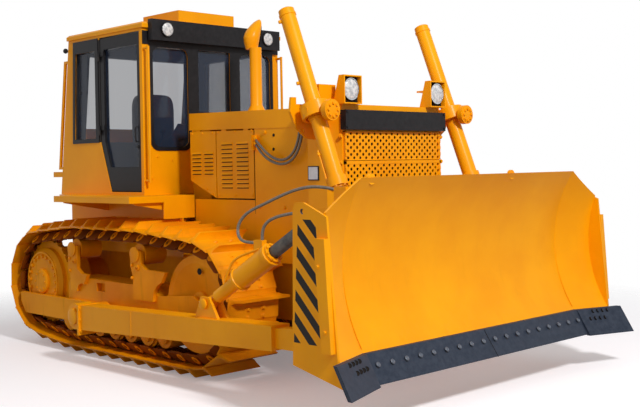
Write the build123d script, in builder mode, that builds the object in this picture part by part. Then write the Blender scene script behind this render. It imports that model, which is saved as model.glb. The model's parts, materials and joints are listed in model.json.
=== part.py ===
"""Crawler bulldozer with a curved blade, two lift cylinders and an enclosed cab.

Frame: +X forward to the blade, +Y left, +Z up, millimetres, ground at Z = 0
under the tips of the track lugs, X = 0 halfway between drawbar and blade.
"""

from build123d import *
from math import atan2, cos, hypot, pi, radians, sin, sqrt, tan
import os

os.makedirs("parts", exist_ok=True)

# ---------------------------------------------------------------- clearances
seat_gap = 0.3            # between pieces that bear on each other
hinge_gap = 9             # between a swinging door and its opening
wall = 60                 # cab walls, doors and window frames
plate = 20                # blade and guard plates

# ---------------------------------------------------------------- tracks
track_centre_y = 940
shoe_width = 500
shoe_count = 38
lug_height = 65           # grouser, from shoe face to tip
shoe_plate = 12
pin_to_shoe = 57          # link pin centre to the inside of the shoe
pin_to_rail = 48          # link pin centre to the rail that rollers run on
link_width = 44
link_offset_y = 78        # each rail, from the track's centre line
lug_root = 50
lug_tip = 22

sprocket_x = -2015
sprocket_z = 610
sprocket_pitch_r = 424
idler_x = 435
idler_z = 590
idler_pitch_r = 452
ground_pin_z = lug_height + shoe_plate + pin_to_shoe
first_lug_x = 413         # a lug of the ground run stands here
carrier_pin_z = 1100      # height of the top run over the carrier rollers
carrier_xs = [-1370, -345]
carrier_r = 92
track_roller_r = 105
track_roller_count = 7
track_roller_first_x = -1500
track_roller_pitch = 250
chord_slack = 6           # links are straight, so they cut inside the path's curves
rail_z = ground_pin_z + pin_to_rail

# ---------------------------------------------------------------- hull
hull_half = 420
hull_bottom_z = 430
hull_front_x = 1560
hull_rear_x = -2300
wing_plate_half = 640     # side plates between cab floor and tracks

# ---------------------------------------------------------------- hood and front guard
hood_half = 500
hood_rear_x = -340
hood_front_x = 1290
hood_rear_z = 2166
hood_front_z = 2136
lip_depth = 150
panel_bottom_z = 1418
panel_gap = 12
guard_half = 600
guard_rear_x = 1290
guard_front_x = 1635
guard_top_z = 2140
guard_bottom_z = 640
grille_half = 560
band_front_x = 1692
band_top_z = 2096
band_bottom_z = 1948

# ---------------------------------------------------------------- cab
cab_half = 810
cab_front_x = -605
cab_rear_top_x = -1850
cab_rear_bottom_x = -2040
cab_floor_z = 1446
cab_roof_z = 2940
roof_thick = 52
sill_z = 1936             # bottom of the side windows
door_rear_x = -1300
door_front_x = -645
door_bottom_z = 1474
door_top_z = 2915
door_taper_x = -1130      # rear edge of the door at its foot
platform_z = cab_floor_z
platform_thick = 56
platform_outer_y = 1190
platform_front_x = -277
platform_rear_x = -1520

# ---------------------------------------------------------------- blade
blade_top_x = 2473
blade_top_z = 1600
blade_foot_x = 2453
blade_foot_z = 473
blade_hollow = 178        # depth of the curve behind the chord
fold_y = 1250             # the wings start here
blade_half = 1600
wing_forward = 125        # how far the wing's outer edge stands ahead
edge_drop_x = 129
edge_drop_z = 191
edge_thick = 28
bit_half = 1672
bit_thick = 34

# ---------------------------------------------------------------- push arms and lift
trunnion_x = -820
trunnion_z = 420
trunnion_r = 62
arm_outer_y = 1420
arm_width = 170
arm_rear_top_z = 522
arm_rear_bottom_z = 312
arm_front_x = 1760
arm_front_top_z = 597
arm_front_bottom_z = 425
arm_y = arm_outer_y - arm_width / 2

cylinder_y = 790
cylinder_pivot_x = 1585
cylinder_pivot_z = 2085
rod_pin_x = 2108
rod_pin_z = 750
barrel_r = 61
barrel_top_reach = 832    # from the pivot up to the barrel's end
barrel_gland_reach = 610  # from the pivot down to the gland's end
rod_r = 36
rod_length = 1560
rod_pin_r = 32
rod_drift = 15            # room round the pin in the rod's eye
eye_r = 76
rod_ear_inner = 44        # half the gap between the rod's ears

brace_low_x = 985
brace_low_y = 1330
brace_low_z = 680
brace_top_x = 2015
brace_top_y = fold_y
brace_top_z = 1310
brace_pin_r = 24

# ---------------------------------------------------------------- hoses
hose_r = 11
port_r = 16
port_length = 34
# Points of each hose from one fitting to the other: x, y, z
side_hose_points = [
    (600, -528, 1900), (665, -536, 1850), (740, -548, 1800), (830, -558, 1755), (930, -562, 1728),
    (1030, -562, 1745), (1105, -562, 1805), (1145, -560, 1890), (1160, -554, 1985), (1158, -545, 2075),
]
side_hose_low_points = [
    (600, -528, 1862), (655, -536, 1812), (728, -548, 1764), (824, -558, 1722), (932, -562, 1696),
    (1044, -562, 1712), (1130, -562, 1782), (1176, -560, 1880), (1192, -554, 1985), (1190, -545, 2075),
]
tilt_hose_points = [
    (1459.7, -1286, 1142), (1390, -1286, 1142), (1320, -1290, 1148), (1255, -1278, 1182), (1235, -1264, 1252),
    (1275, -1247, 1322), (1355, -1230, 1372), (1460, -1208, 1412), (1580, -1182, 1462), (1710, -1152, 1510),
    (1850, -1120, 1540), (1990, -1080, 1530), (2110, -1050, 1500), (2184.7, -1050, 1500),
]
tilt_hose_low_points = [
    (1530, -1286, 1165.3), (1530, -1286, 1225), (1565, -1282, 1285), (1640, -1268, 1325), (1745, -1245, 1350),
    (1865, -1215, 1365), (1985, -1172, 1362), (2100, -1130, 1352), (2184.7, -1130, 1352),
]


def side(y):
    """A sketch plane that faces -Y at height Y: sketch x is X, sketch y is Z."""
    return Plane(origin=(0, y, 0), x_dir=(1, 0, 0), z_dir=(0, -1, 0))


def front(x):
    """A sketch plane that faces +X: sketch x is Y, sketch y is Z."""
    return Plane(origin=(x, 0, 0), x_dir=(0, 1, 0), z_dir=(1, 0, 0))


def save(part, name):
    part.label = name
    export_step(part, f"parts/{name}.step")


def save_pair(right, name):
    """Write the right-hand piece and its mirror image on the left."""
    save(right, f"{name}_right")
    save(mirror(right, about=Plane.XZ), f"{name}_left")


def save_both(right, name):
    """Write a right-hand part and its mirror image as one node."""
    save(Compound(children=[right, mirror(right, about=Plane.XZ)]), name)


# ---------------------------------------------------------------- track path
def circle_tangent(x0, z0, r0, x1, z1, r1):
    """Points where the outer tangent of two circles, on the left of the way from the
    first to the second, touches each: a loop that runs clockwise bears on them."""
    d = hypot(x1 - x0, z1 - z0)
    along = atan2(z1 - z0, x1 - x0)
    turn = along + pi / 2 + atan2(r1 - r0, sqrt(d * d - (r1 - r0) ** 2))
    nx = cos(turn)
    nz = sin(turn)
    return (x0 + r0 * nx, z0 + r0 * nz), (x1 + r1 * nx, z1 + r1 * nz)


carrier_z = carrier_pin_z - pin_to_rail - chord_slack - carrier_r
track_roller_z = rail_z + chord_slack + track_roller_r
track_roller_last_x = track_roller_first_x + track_roller_pitch * (track_roller_count - 1)
# Each wheel that the chain's pins go round, in the order top front to bottom rear:
# x, z, radius of the pin path.
path_wheels = [
    (sprocket_x, sprocket_z, sprocket_pitch_r),
    (carrier_xs[0], carrier_z, carrier_r + pin_to_rail + chord_slack),
    (carrier_xs[1], carrier_z, carrier_r + pin_to_rail + chord_slack),
    (idler_x, idler_z, idler_pitch_r),
    (track_roller_last_x + 60, track_roller_z, track_roller_r + pin_to_rail + chord_slack),
    (track_roller_first_x, track_roller_z, track_roller_r + pin_to_rail + chord_slack),
]


def pin_path():
    """The closed path of the link pins: straight runs and arcs, as
    (length, function of distance) pieces that give a point and a heading."""
    runs = []
    touches = []
    for here, there in zip(path_wheels, path_wheels[1:] + path_wheels[:1]):
        touches.append(circle_tangent(*here, *there))
    for i, (start, end) in enumerate(touches):
        x, z, r = path_wheels[(i + 1) % len(path_wheels)]
        after = touches[(i + 1) % len(touches)][0]
        length = hypot(end[0] - start[0], end[1] - start[1])
        heading = atan2(end[1] - start[1], end[0] - start[0])
        runs.append(("line", length, start, heading))
        a0 = atan2(end[1] - z, end[0] - x)
        a1 = atan2(after[1] - z, after[0] - x)
        sweep = (a0 - a1) % (2 * pi)
        if sweep > 1.9 * pi:
            sweep = 0
        runs.append(("arc", r * sweep, (x, z, r), a0))
    return runs


def path_point(runs, distance):
    """Position and outward normal of the pin path at a distance along it."""
    for kind, length, place, angle in runs:
        if distance <= length:
            if kind == "line":
                x = place[0] + distance * cos(angle)
                z = place[1] + distance * sin(angle)
                return x, z, angle + pi / 2
            a = angle - distance / place[2]
            return place[0] + place[2] * cos(a), place[1] + place[2] * sin(a), a
        distance -= length
    return path_point(runs, distance)


track_runs = pin_path()
track_length = sum(run[1] for run in track_runs)
link_pitch = track_length / shoe_count


def lug_phase():
    """Shift along the path that puts a ground lug at first_lug_x."""
    best = (1e9, 0)
    steps = 400
    for i in range(steps):
        shift = link_pitch * i / steps
        for n in range(shoe_count):
            x, z, a = path_point(track_runs, (shift + n * link_pitch) % track_length)
            if z < idler_z / 2:
                miss = abs(x - first_lug_x)
                if miss < best[0]:
                    best = (miss, shift)
    return best[1]


track_phase = lug_phase()
track_pins = [
    path_point(track_runs, (track_phase + n * link_pitch) % track_length) for n in range(shoe_count)
]


def offset_point(place, out, ahead=0):
    """A point beside a pin: out along its outward normal, ahead along the track."""
    x, z, a = place
    return x + out * cos(a) + ahead * sin(a), z + out * sin(a) - ahead * cos(a)


def track_outline():
    """Outer outline of the shoes with one lug standing on each shoe's middle."""
    points = []
    face = pin_to_shoe + shoe_plate
    for place in track_pins:
        points.append(offset_point(place, face, -lug_root / 2))
        points.append(offset_point(place, face + lug_height, -lug_tip / 2))
        points.append(offset_point(place, face + lug_height, lug_tip / 2))
        points.append(offset_point(place, face, lug_root / 2))
    return points


# ---------------------------------------------------------------- tracks
with BuildPart() as track:
    with BuildSketch(side(-track_centre_y + shoe_width / 2)):
        Polygon(*track_outline(), align=None)
        Polygon(*[offset_point(p, pin_to_shoe) for p in track_pins], align=None, mode=Mode.SUBTRACT)
    extrude(amount=shoe_width)
    for rail_y in (-link_offset_y, link_offset_y):
        with BuildSketch(side(-track_centre_y + rail_y + link_width / 2)):
            Polygon(*[offset_point(p, pin_to_shoe + 1) for p in track_pins], align=None)
            Polygon(*[offset_point(p, -pin_to_rail) for p in track_pins], align=None, mode=Mode.SUBTRACT)
        extrude(amount=link_width)
save_pair(track.part, "track")

# ---------------------------------------------------------------- sprockets and idlers
sprocket_teeth = 26
tooth_root_r = sprocket_pitch_r - 40
tooth_tip_r = sprocket_pitch_r - 10
sprocket_width = 60
drum_r = 320
drum_outer_y = 1042
drum_inner_y = 700
drum_chamfer = 34
with BuildPart() as sprocket:
    with BuildSketch(side(-track_centre_y + sprocket_width / 2)):
        with Locations((sprocket_x, sprocket_z)):
            Circle(tooth_root_r)
            with PolarLocations(tooth_root_r - 6, sprocket_teeth):
                Trapezoid(2 * (tooth_tip_r - tooth_root_r), 46, 68, rotation=-90)
    extrude(amount=sprocket_width)
    with BuildSketch(side(-drum_inner_y)):
        with Locations((sprocket_x, sprocket_z)):
            Circle(drum_r)
    extrude(amount=drum_outer_y - drum_inner_y)
    chamfer(sprocket.edges().group_by(Axis.Y)[0], drum_chamfer)
save_both(sprocket.part, "sprockets")

idler_rail_r = sqrt(idler_pitch_r ** 2 - (link_pitch / 2) ** 2) - pin_to_rail - 2
idler_width = 2 * link_offset_y + 40
idler_flange = 2 * (link_offset_y - link_width / 2) - 8
idler_dish = 55
yoke_gap = 16
yoke_plate = 26
with BuildPart() as idler:
    with BuildSketch(Plane.XY.offset(idler_z)):
        with BuildLine():
            Polyline(
                (idler_x, -track_centre_y - idler_width / 2 + idler_dish),
                (idler_x + 90, -track_centre_y - idler_width / 2 + idler_dish),
                (idler_x + idler_rail_r - 60, -track_centre_y - idler_width / 2),
                (idler_x + idler_rail_r, -track_centre_y - idler_width / 2),
                (idler_x + idler_rail_r, -track_centre_y - idler_flange / 2),
                (idler_x + idler_rail_r + 18, -track_centre_y - idler_flange / 2),
                (idler_x + idler_rail_r + 18, -track_centre_y + idler_flange / 2),
                (idler_x + idler_rail_r, -track_centre_y + idler_flange / 2),
                (idler_x + idler_rail_r, -track_centre_y + idler_width / 2),
                (idler_x + idler_rail_r - 60, -track_centre_y + idler_width / 2),
                (idler_x + 90, -track_centre_y + idler_width / 2 - idler_dish),
                (idler_x, -track_centre_y + idler_width / 2 - idler_dish),
                close=True,
            )
        make_face()
    revolve(axis=Axis((idler_x, 0, idler_z), (0, 1, 0)))
    with Locations(Location((idler_x, -track_centre_y, idler_z), (90, 0, 0))):
        Cylinder(48, idler_width + 2 * (yoke_gap - seat_gap))
save_both(idler.part, "idlers")

# ---------------------------------------------------------------- track rollers
roller_half = 2 * link_offset_y / 2 + link_width / 2 + 12
roller_shaft_r = 30
beam_thick = 48
beam_outer_y = track_centre_y + 114          # inner face of the outer beam
beam_inner_y = track_centre_y - 114 - beam_thick
with BuildPart() as track_rollers:
    for n in range(track_roller_count):
        roller_x = track_roller_first_x + n * track_roller_pitch
        raised = chord_slack if n in (0, track_roller_count - 1) else 0
        with Locations(Location((roller_x, -track_centre_y, rail_z + track_roller_r + raised), (90, 0, 0))):
            Cylinder(track_roller_r - seat_gap, 2 * roller_half)
            Cylinder(roller_shaft_r, 2 * (beam_outer_y - track_centre_y - seat_gap))
save_both(track_rollers.part, "track_rollers")

with BuildPart() as carrier_rollers:
    for x in carrier_xs:
        with Locations(Location((x, -track_centre_y, carrier_z), (90, 0, 0))):
            Cylinder(carrier_r - seat_gap, 2 * roller_half - 10)
            Cylinder(roller_shaft_r + 8, 2 * (roller_half + 8 - seat_gap))
save_both(carrier_rollers.part, "carrier_rollers")

# ---------------------------------------------------------------- track frames
beam_rear_x = -2350
inner_beam_rear_x = -1560
beam_front_x = 250
beam_bottom_z = 290
beam_top_z = 488
box_top_z = 690
box_rear_x = -1500
box_front_x = -20
box_outer_y = beam_outer_y + 10
post_half = 78
post_top_z = 985
post_thick = 36
# Carrier posts: x of the roller, how far the foot reaches ahead, height of the foot's top there
carrier_posts = [
    (carrier_xs[0], 250, 730),
    (carrier_xs[1], 430, 826),
]
hatch_x = (-1010, -880)   # opening in the outer wall of the box
hatch_z = (590, 664)
trunnion_seat_r = 96
trunnion_reach = 290
with BuildPart() as track_frame:
    # outer and inner side beams
    for y, rear_x in ((beam_outer_y, beam_rear_x), (beam_inner_y, inner_beam_rear_x)):
        with BuildSketch(side(-y)):
            with BuildLine():
                Polyline(
                    (rear_x, beam_top_z),
                    (beam_front_x, beam_top_z),
                    (beam_front_x, beam_bottom_z + 40),
                    (beam_front_x - 60, beam_bottom_z),
                    (rear_x + 90, beam_bottom_z),
                    (rear_x, beam_bottom_z + 110),
                    close=True,
                )
            make_face()
        extrude(amount=beam_thick)
    # closed box between them, over the track rollers
    with BuildSketch(side(-beam_inner_y)):
        with BuildLine():
            Polyline(
                (box_rear_x, beam_top_z - 60),
                (box_rear_x, box_top_z - 60),
                (box_rear_x + 60, box_top_z),
                (box_front_x - 130, box_top_z),
                (box_front_x, box_top_z - 110),
                (box_front_x, beam_top_z - 60),
                close=True,
            )
        make_face()
    extrude(amount=box_outer_y - beam_inner_y)
    # posts that carry the upper rollers, with a foot that reaches ahead
    for x, reach, foot_z in carrier_posts:
        with BuildSketch(side(-track_centre_y - roller_half - 8)):
            with BuildLine():
                Polyline(
                    (x + reach - 60, foot_z - 90),
                    (x + reach, foot_z),
                    (x + post_half + 70, foot_z + 6),
                    (x + post_half, foot_z + 50),
                    (x + post_half, post_top_z),
                    (x - post_half, post_top_z),
                    (x - post_half, foot_z + 30),
                    (x - post_half + 40, foot_z - 60),
                    (x - post_half + 40, box_top_z - 120),
                    (x + reach - 180, box_top_z - 120),
                )
                ThreePointArc(
                    (x + reach - 180, box_top_z - 120),
                    (x + reach - 150, (foot_z - 90 + box_top_z - 120) / 2 + 20),
                    (x + reach - 60, foot_z - 90),
                )
            make_face()
        extrude(amount=post_thick)
    with Locations((sum(hatch_x) / 2, -box_outer_y, sum(hatch_z) / 2)):
        Box(hatch_x[1] - hatch_x[0], 2 * beam_thick, hatch_z[1] - hatch_z[0], mode=Mode.SUBTRACT)
    # idler yoke
    for y in (idler_width / 2 + yoke_gap + yoke_plate, -idler_width / 2 - yoke_gap):
        with BuildSketch(side(-track_centre_y + y)):
            with BuildLine():
                Polyline(
                    (box_front_x - 20, 620),
                    (idler_x, 660),
                    (idler_x + 70, 620),
                    (idler_x + 70, 540),
                    (idler_x, 500),
                    (box_front_x - 20, 480),
                    close=True,
                )
            make_face()
        extrude(amount=yoke_plate)
    # seat of the push arm's trunnion
    with Locations(Location((trunnion_x, -beam_outer_y - beam_thick + 10, trunnion_z), (90, 0, 0))):
        Cylinder(trunnion_seat_r, 100, align=(Align.CENTER, Align.CENTER, Align.MIN))
        Cylinder(trunnion_r, trunnion_reach, align=(Align.CENTER, Align.CENTER, Align.MIN))
save_both(track_frame.part, "track_frames")

# ---------------------------------------------------------------- hull
with BuildPart() as main_frame:
    with BuildSketch(side(hull_half)):
        with BuildLine():
            Polyline(
                (hull_rear_x, hull_bottom_z + 60),
                (hull_rear_x + 60, hull_bottom_z),
                (hull_front_x - 420, hull_bottom_z),
                (hull_front_x, guard_bottom_z),
                (hull_front_x, 900),
                (hull_rear_x, 900),
                close=True,
            )
        make_face()
    extrude(amount=2 * hull_half)
save(main_frame.part, "main_frame")

with BuildPart() as engine_block:
    with Locations((520, 0, 900 + seat_gap)):
        Box(1100, 620, 850, align=(Align.CENTER, Align.CENTER, Align.MIN))
save(engine_block.part, "engine_block")

# side plates between the cab floor and the frame, over the tracks
side_plate_thick = 12
side_plate_rear_x = -2135
side_plate_top_z = cab_floor_z - platform_thick - seat_gap
case_half = 400
case_overhang = 130
case_bottom_z = 350
case_top_z = cab_floor_z - 190
front_plate_outer_y = 835
front_plate_bottom_z = 1245
gusset_outer_y = 1120
gusset_depth = 100
with BuildPart() as side_plates:
    with BuildSketch(side(-wing_plate_half + side_plate_thick)):
        with BuildLine():
            Polyline(
                (side_plate_rear_x, side_plate_top_z),
                (platform_front_x, side_plate_top_z),
                (platform_front_x, 900 + seat_gap),
                (side_plate_rear_x, 900 + seat_gap),
                close=True,
            )
        make_face()
    extrude(amount=side_plate_thick)
    # foot of the plate on the frame
    with Locations(((side_plate_rear_x + platform_front_x) / 2, -wing_plate_half + side_plate_thick, 900 + seat_gap)):
        Box(platform_front_x - side_plate_rear_x, wing_plate_half - side_plate_thick - case_half - seat_gap, 14,
            align=(Align.CENTER, Align.MIN, Align.MIN))
    # cross plate ahead of the platform's inner part
    with Locations((platform_front_x, -hood_half - 4 - seat_gap, platform_z)):
        Box(side_plate_thick, front_plate_outer_y - hood_half - 4 - seat_gap, platform_z - front_plate_bottom_z,
            align=(Align.MAX, Align.MAX, Align.MAX))
    # gussets under the platform
    for x in (platform_front_x - 40, platform_rear_x + 60):
        with BuildSketch(front(x - side_plate_thick)):
            with BuildLine():
                Polyline(
                    (-wing_plate_half + 1, side_plate_top_z),
                    (-gusset_outer_y, side_plate_top_z),
                    (-gusset_outer_y, side_plate_top_z - 12),
                    (-wing_plate_half + 1, side_plate_top_z - gusset_depth),
                    close=True,
                )
            make_face()
        extrude(amount=side_plate_thick)
save_both(side_plates.part, "side_plates")

# transmission case at the rear with the axle housings to the sprockets
axle_r = 190
with BuildPart() as rear_case:
    with BuildSketch(side(case_half)):
        with BuildLine():
            Polyline(
                (hull_rear_x - case_overhang, case_bottom_z),
                (hull_rear_x - case_overhang, 1160),
                (hull_rear_x - 40, case_top_z),
                (-1000, case_top_z),
                (-1000, 900 + seat_gap),
                (hull_rear_x - seat_gap, 900 + seat_gap),
                (hull_rear_x - seat_gap, case_bottom_z),
                close=True,
            )
        make_face()
    extrude(amount=2 * case_half)
save(rear_case.part, "rear_case")

with BuildPart() as axle_right:
    with Locations(Location((sprocket_x, -hull_half - seat_gap, sprocket_z), (90, 0, 0))):
        Cylinder(axle_r, drum_inner_y - hull_half - 2 * seat_gap, align=(Align.CENTER, Align.CENTER, Align.MIN))
save_both(axle_right.part, "axle_housings")

# cross beam that carries the front of the frame on both track frames
with BuildPart() as balance_beam:
    with Locations((idler_x - 250, 0, 560)):
        Box(260, 2 * (beam_inner_y - seat_gap), 150)
    with Locations((idler_x - 250, 0, 560)):
        Box(400, 2 * (hull_half + seat_gap), 400, mode=Mode.SUBTRACT)
save(balance_beam.part, "balance_beam")

# towing clevis
drawbar_tip_x = -2758
drawbar_z = 470
drawbar_half = 100
drawbar_jaw = 80
drawbar_pin_x = -2658
drawbar_pin_r = 26
with BuildPart() as drawbar:
    with BuildSketch(side(90)):
        with BuildLine():
            Polyline(
                (hull_rear_x - case_overhang - seat_gap, drawbar_z + 150),
                (drawbar_tip_x + 200, drawbar_z + drawbar_half),
                (drawbar_tip_x + 60, drawbar_z + drawbar_half),
                (drawbar_tip_x, drawbar_z + drawbar_half - 30),
                (drawbar_tip_x, drawbar_z - drawbar_half + 30),
                (drawbar_tip_x + 60, drawbar_z - drawbar_half),
                (hull_rear_x - case_overhang - seat_gap, drawbar_z - drawbar_half),
                close=True,
            )
        make_face()
    extrude(amount=180)
    with Locations((drawbar_tip_x + 60, 0, drawbar_z)):
        Box(280, 200, drawbar_jaw, mode=Mode.SUBTRACT)
    with Locations((drawbar_pin_x, 0, drawbar_z)):
        Cylinder(drawbar_pin_r, 400, mode=Mode.SUBTRACT)
save(drawbar.part, "drawbar")

with BuildPart() as fuel_tank:
    with BuildSketch(side(480)):
        with BuildLine():
            Polyline(
                (cab_rear_bottom_x - 60, case_top_z + seat_gap),
                (hull_rear_x - 40, case_top_z + seat_gap),
                (hull_rear_x - 140, case_top_z + 110),
                (hull_rear_x - 140, 2000),
                (hull_rear_x - 60, 2100),
                (cab_rear_bottom_x - 60, 2100),
                close=True,
            )
        make_face()
    extrude(amount=960)
save(fuel_tank.part, "fuel_tank")

# ---------------------------------------------------------------- hood
hood_plate = 10
with BuildPart() as hood:
    with BuildSketch(side(hood_half)):
        with BuildLine():
            Polyline(
                (hood_rear_x, hood_rear_z),
                (hood_front_x, hood_front_z),
                (hood_front_x, hood_front_z - lip_depth),
                (hood_rear_x, hood_rear_z - lip_depth),
                close=True,
            )
        make_face()
    extrude(amount=2 * hood_half)
    with BuildSketch(side(hood_half - hood_plate)):
        with BuildLine():
            Polyline(
                (hood_rear_x - 1, hood_rear_z - hood_plate),
                (hood_front_x + 1, hood_front_z - hood_plate),
                (hood_front_x + 1, hood_front_z - lip_depth - 10),
                (hood_rear_x - 1, hood_rear_z - lip_depth - 10),
                close=True,
            )
        make_face()
    extrude(amount=2 * (hood_half - hood_plate), mode=Mode.SUBTRACT)
save(hood.part, "hood")


def lip_z(x):
    """Height of the hood lip's lower edge at x."""
    slope = (hood_front_z - hood_rear_z) / (hood_front_x - hood_rear_x)
    return hood_rear_z - lip_depth + slope * (x - hood_rear_x)


# engine sides: lower plate, then louvred panels under the hood's lip
louvre_split_x = (26, 38)          # rear panel ends, front panel starts
louvre_front_x = 530
side_thick = 14
side_face_y = hood_half - 4        # outer face of the engine side and its panels
shelf_inner_y = 336
shelf_front_x = 30
with BuildPart() as engine_side:
    with BuildSketch(side(-side_face_y + side_thick)):
        with BuildLine():
            Polyline(
                (platform_front_x + seat_gap, panel_bottom_z - panel_gap),
                (louvre_front_x + panel_gap, panel_bottom_z - panel_gap),
                (louvre_front_x + panel_gap, lip_z(louvre_front_x + panel_gap) - seat_gap),
                (hood_front_x, lip_z(hood_front_x) - seat_gap),
                (hood_front_x, 900 + seat_gap),
                (platform_front_x + seat_gap, 900 + seat_gap),
                close=True,
            )
        make_face()
    extrude(amount=side_thick)
    # shelf behind the cut corner of the rear panel
    with Locations((platform_front_x + seat_gap, -side_face_y + 1, panel_bottom_z - panel_gap)):
        Box(shelf_front_x - platform_front_x, side_face_y - shelf_inner_y, side_thick,
            align=(Align.MIN, Align.MIN, Align.MAX))
save_both(engine_side.part, "engine_sides")

# Louvre columns: start x, end x, height of the lowest louvre, of the highest, how many
louvre_columns = [
    (-308, -178, 1640, 1812, 6),
    (-135, -8, 1640, 1812, 6),
    (105, 254, 1520, 1888, 11),
    (307, 464, 1520, 1888, 11),
]
louvre_high = 20
louvre_out = 11
with BuildPart() as louvre_panel:
    with BuildSketch(side(-side_face_y + side_thick)):
        with BuildLine():
            Polyline(
                (hood_rear_x + 4, 1572),
                (hood_rear_x + 4, lip_z(hood_rear_x + 4) - panel_gap),
                (louvre_split_x[0], lip_z(louvre_split_x[0]) - panel_gap),
                (louvre_split_x[0], panel_bottom_z),
                (louvre_split_x[0] - 4, panel_bottom_z),
                close=True,
            )
        make_face()
        with BuildLine():
            Polyline(
                (louvre_split_x[1], panel_bottom_z),
                (louvre_split_x[1], lip_z(louvre_split_x[1]) - panel_gap),
                (louvre_front_x, lip_z(louvre_front_x) - panel_gap),
                (louvre_front_x, panel_bottom_z),
                close=True,
            )
        make_face()
        # seats against the hood's lip
        for x in (hood_rear_x + 120, louvre_split_x[1] + 100, louvre_front_x - 100):
            Polygon(
                (x - 30, lip_z(x - 30) - panel_gap - 2),
                (x - 30, lip_z(x - 30) - seat_gap),
                (x + 30, lip_z(x + 30) - seat_gap),
                (x + 30, lip_z(x + 30) - panel_gap - 2),
                align=None,
            )
    extrude(amount=side_thick)
    for start_x, end_x, low_z, high_z, rows in louvre_columns:
        for n in range(int(rows)):
            z = low_z + (high_z - low_z) * n / (rows - 1)
            with BuildSketch(front(start_x)):
                Polygon(
                    (-side_face_y + 1, z + louvre_high / 2),
                    (-side_face_y - louvre_out, z - louvre_high / 2),
                    (-side_face_y + 1, z - louvre_high / 2),
                    align=None,
                )
            extrude(amount=end_x - start_x)
save_both(louvre_panel.part, "louvre_panels")

# firewall between hood and cab
firewall_half = 265
with BuildPart() as firewall:
    with Locations(((cab_front_x + hood_rear_x) / 2, 0, (cab_floor_z - platform_thick + hood_rear_z - 40) / 2)):
        Box(hood_rear_x - cab_front_x - 2 * seat_gap, 2 * firewall_half, hood_rear_z - 40 - cab_floor_z + platform_thick)
save(firewall.part, "firewall")

# ---------------------------------------------------------------- front guard and grille
guard_swell = 20          # how far its front corners stand out
with BuildPart() as guard:
    with BuildSketch(Plane.XY.offset(guard_bottom_z)):
        with BuildLine():
            Polyline(
                (guard_rear_x + seat_gap, -guard_half),
                (guard_front_x - 120, -guard_half - guard_swell),
                (guard_front_x, -grille_half - 10),
                (guard_front_x, grille_half + 10),
                (guard_front_x - 120, guard_half + guard_swell),
                (guard_rear_x + seat_gap, guard_half),
                close=True,
            )
        make_face()
    extrude(amount=guard_top_z - guard_bottom_z)
    with Locations((guard_front_x, 0, (band_bottom_z + 1100) / 2)):
        Box(160, 2 * grille_half - 60, band_bottom_z - 1100 - 20, mode=Mode.SUBTRACT)
    with Locations((hull_front_x, 0, 760)):
        Box(2 * (hull_front_x - guard_rear_x) + 10, 2 * (hull_half + seat_gap), 300, mode=Mode.SUBTRACT)
save(guard.part, "radiator_guard")

grille_top_z = band_bottom_z - 12
grille_split_z = 1712
grille_bottom_z = 1240
with BuildPart() as grille:
    for low, high in ((grille_split_z + 5, grille_top_z), (grille_bottom_z, grille_split_z - 5)):
        with BuildSketch(front(guard_front_x + seat_gap)):
            with Locations((0, (low + high) / 2)):
                Rectangle(2 * grille_half, high - low)
        extrude(amount=20)
save(grille.part, "grille")

with BuildPart() as front_band:
    with BuildSketch(front(guard_front_x + seat_gap)):
        with Locations((0, (band_top_z + band_bottom_z) / 2)):
            Rectangle(2 * (grille_half + 26), band_top_z - band_bottom_z)
    extrude(amount=band_front_x - guard_front_x)
save(front_band.part, "front_band")

# headlamp housings on the guard's top, open ahead round a lamp
lamp_y = 505
lamp_z = 2252
lamp_r = 76
housing_y = (404, 596)
housing_rear_x = (1570, 1634)      # at the foot and at the top
housing_front_x = 1690
housing_top_z = 2355
housing_sheet = 10
lamp_face_x = 1672
with BuildPart() as headlamps:
    with BuildSketch(side(-housing_y[0])):
        Polygon(
            (housing_rear_x[0], guard_top_z + seat_gap),
            (housing_rear_x[1], housing_top_z),
            (housing_front_x, housing_top_z),
            (housing_front_x, guard_top_z + seat_gap),
            align=None,
        )
    extrude(amount=housing_y[1] - housing_y[0])
    with Locations((housing_front_x, -sum(housing_y) / 2, (guard_top_z + housing_top_z) / 2)):
        Box(2 * (housing_front_x - housing_rear_x[1] - housing_sheet),
            housing_y[1] - housing_y[0] - 2 * housing_sheet,
            housing_top_z - guard_top_z - 2 * housing_sheet, mode=Mode.SUBTRACT)
    with Locations(Location((lamp_face_x, -lamp_y, lamp_z), (0, 90, 0))):
        Cylinder(lamp_r, lamp_face_x - housing_rear_x[1] - housing_sheet + 2,
                 align=(Align.CENTER, Align.CENTER, Align.MAX))
save_both(headlamps.part, "headlamp_housings")

# ---------------------------------------------------------------- exhaust
exhaust_x = -50
exhaust_r = 54
exhaust_foot_z = lip_z(exhaust_x - 100) + lip_depth + seat_gap
pipe_top_z = 2740
elbow_sheet = 7
# Sections of the elbow from the pipe to its outlet: y, z, radius, lean of the axis to the left
elbow_sections = [
    (0, pipe_top_z - 14, exhaust_r, 0),
    (0, pipe_top_z + 24, 82, 0),
    (6, pipe_top_z + 90, 86, 0.26),
    (32, pipe_top_z + 150, 88, 0.52),
    (120, pipe_top_z + 262, 88, 0.78),
]
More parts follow.
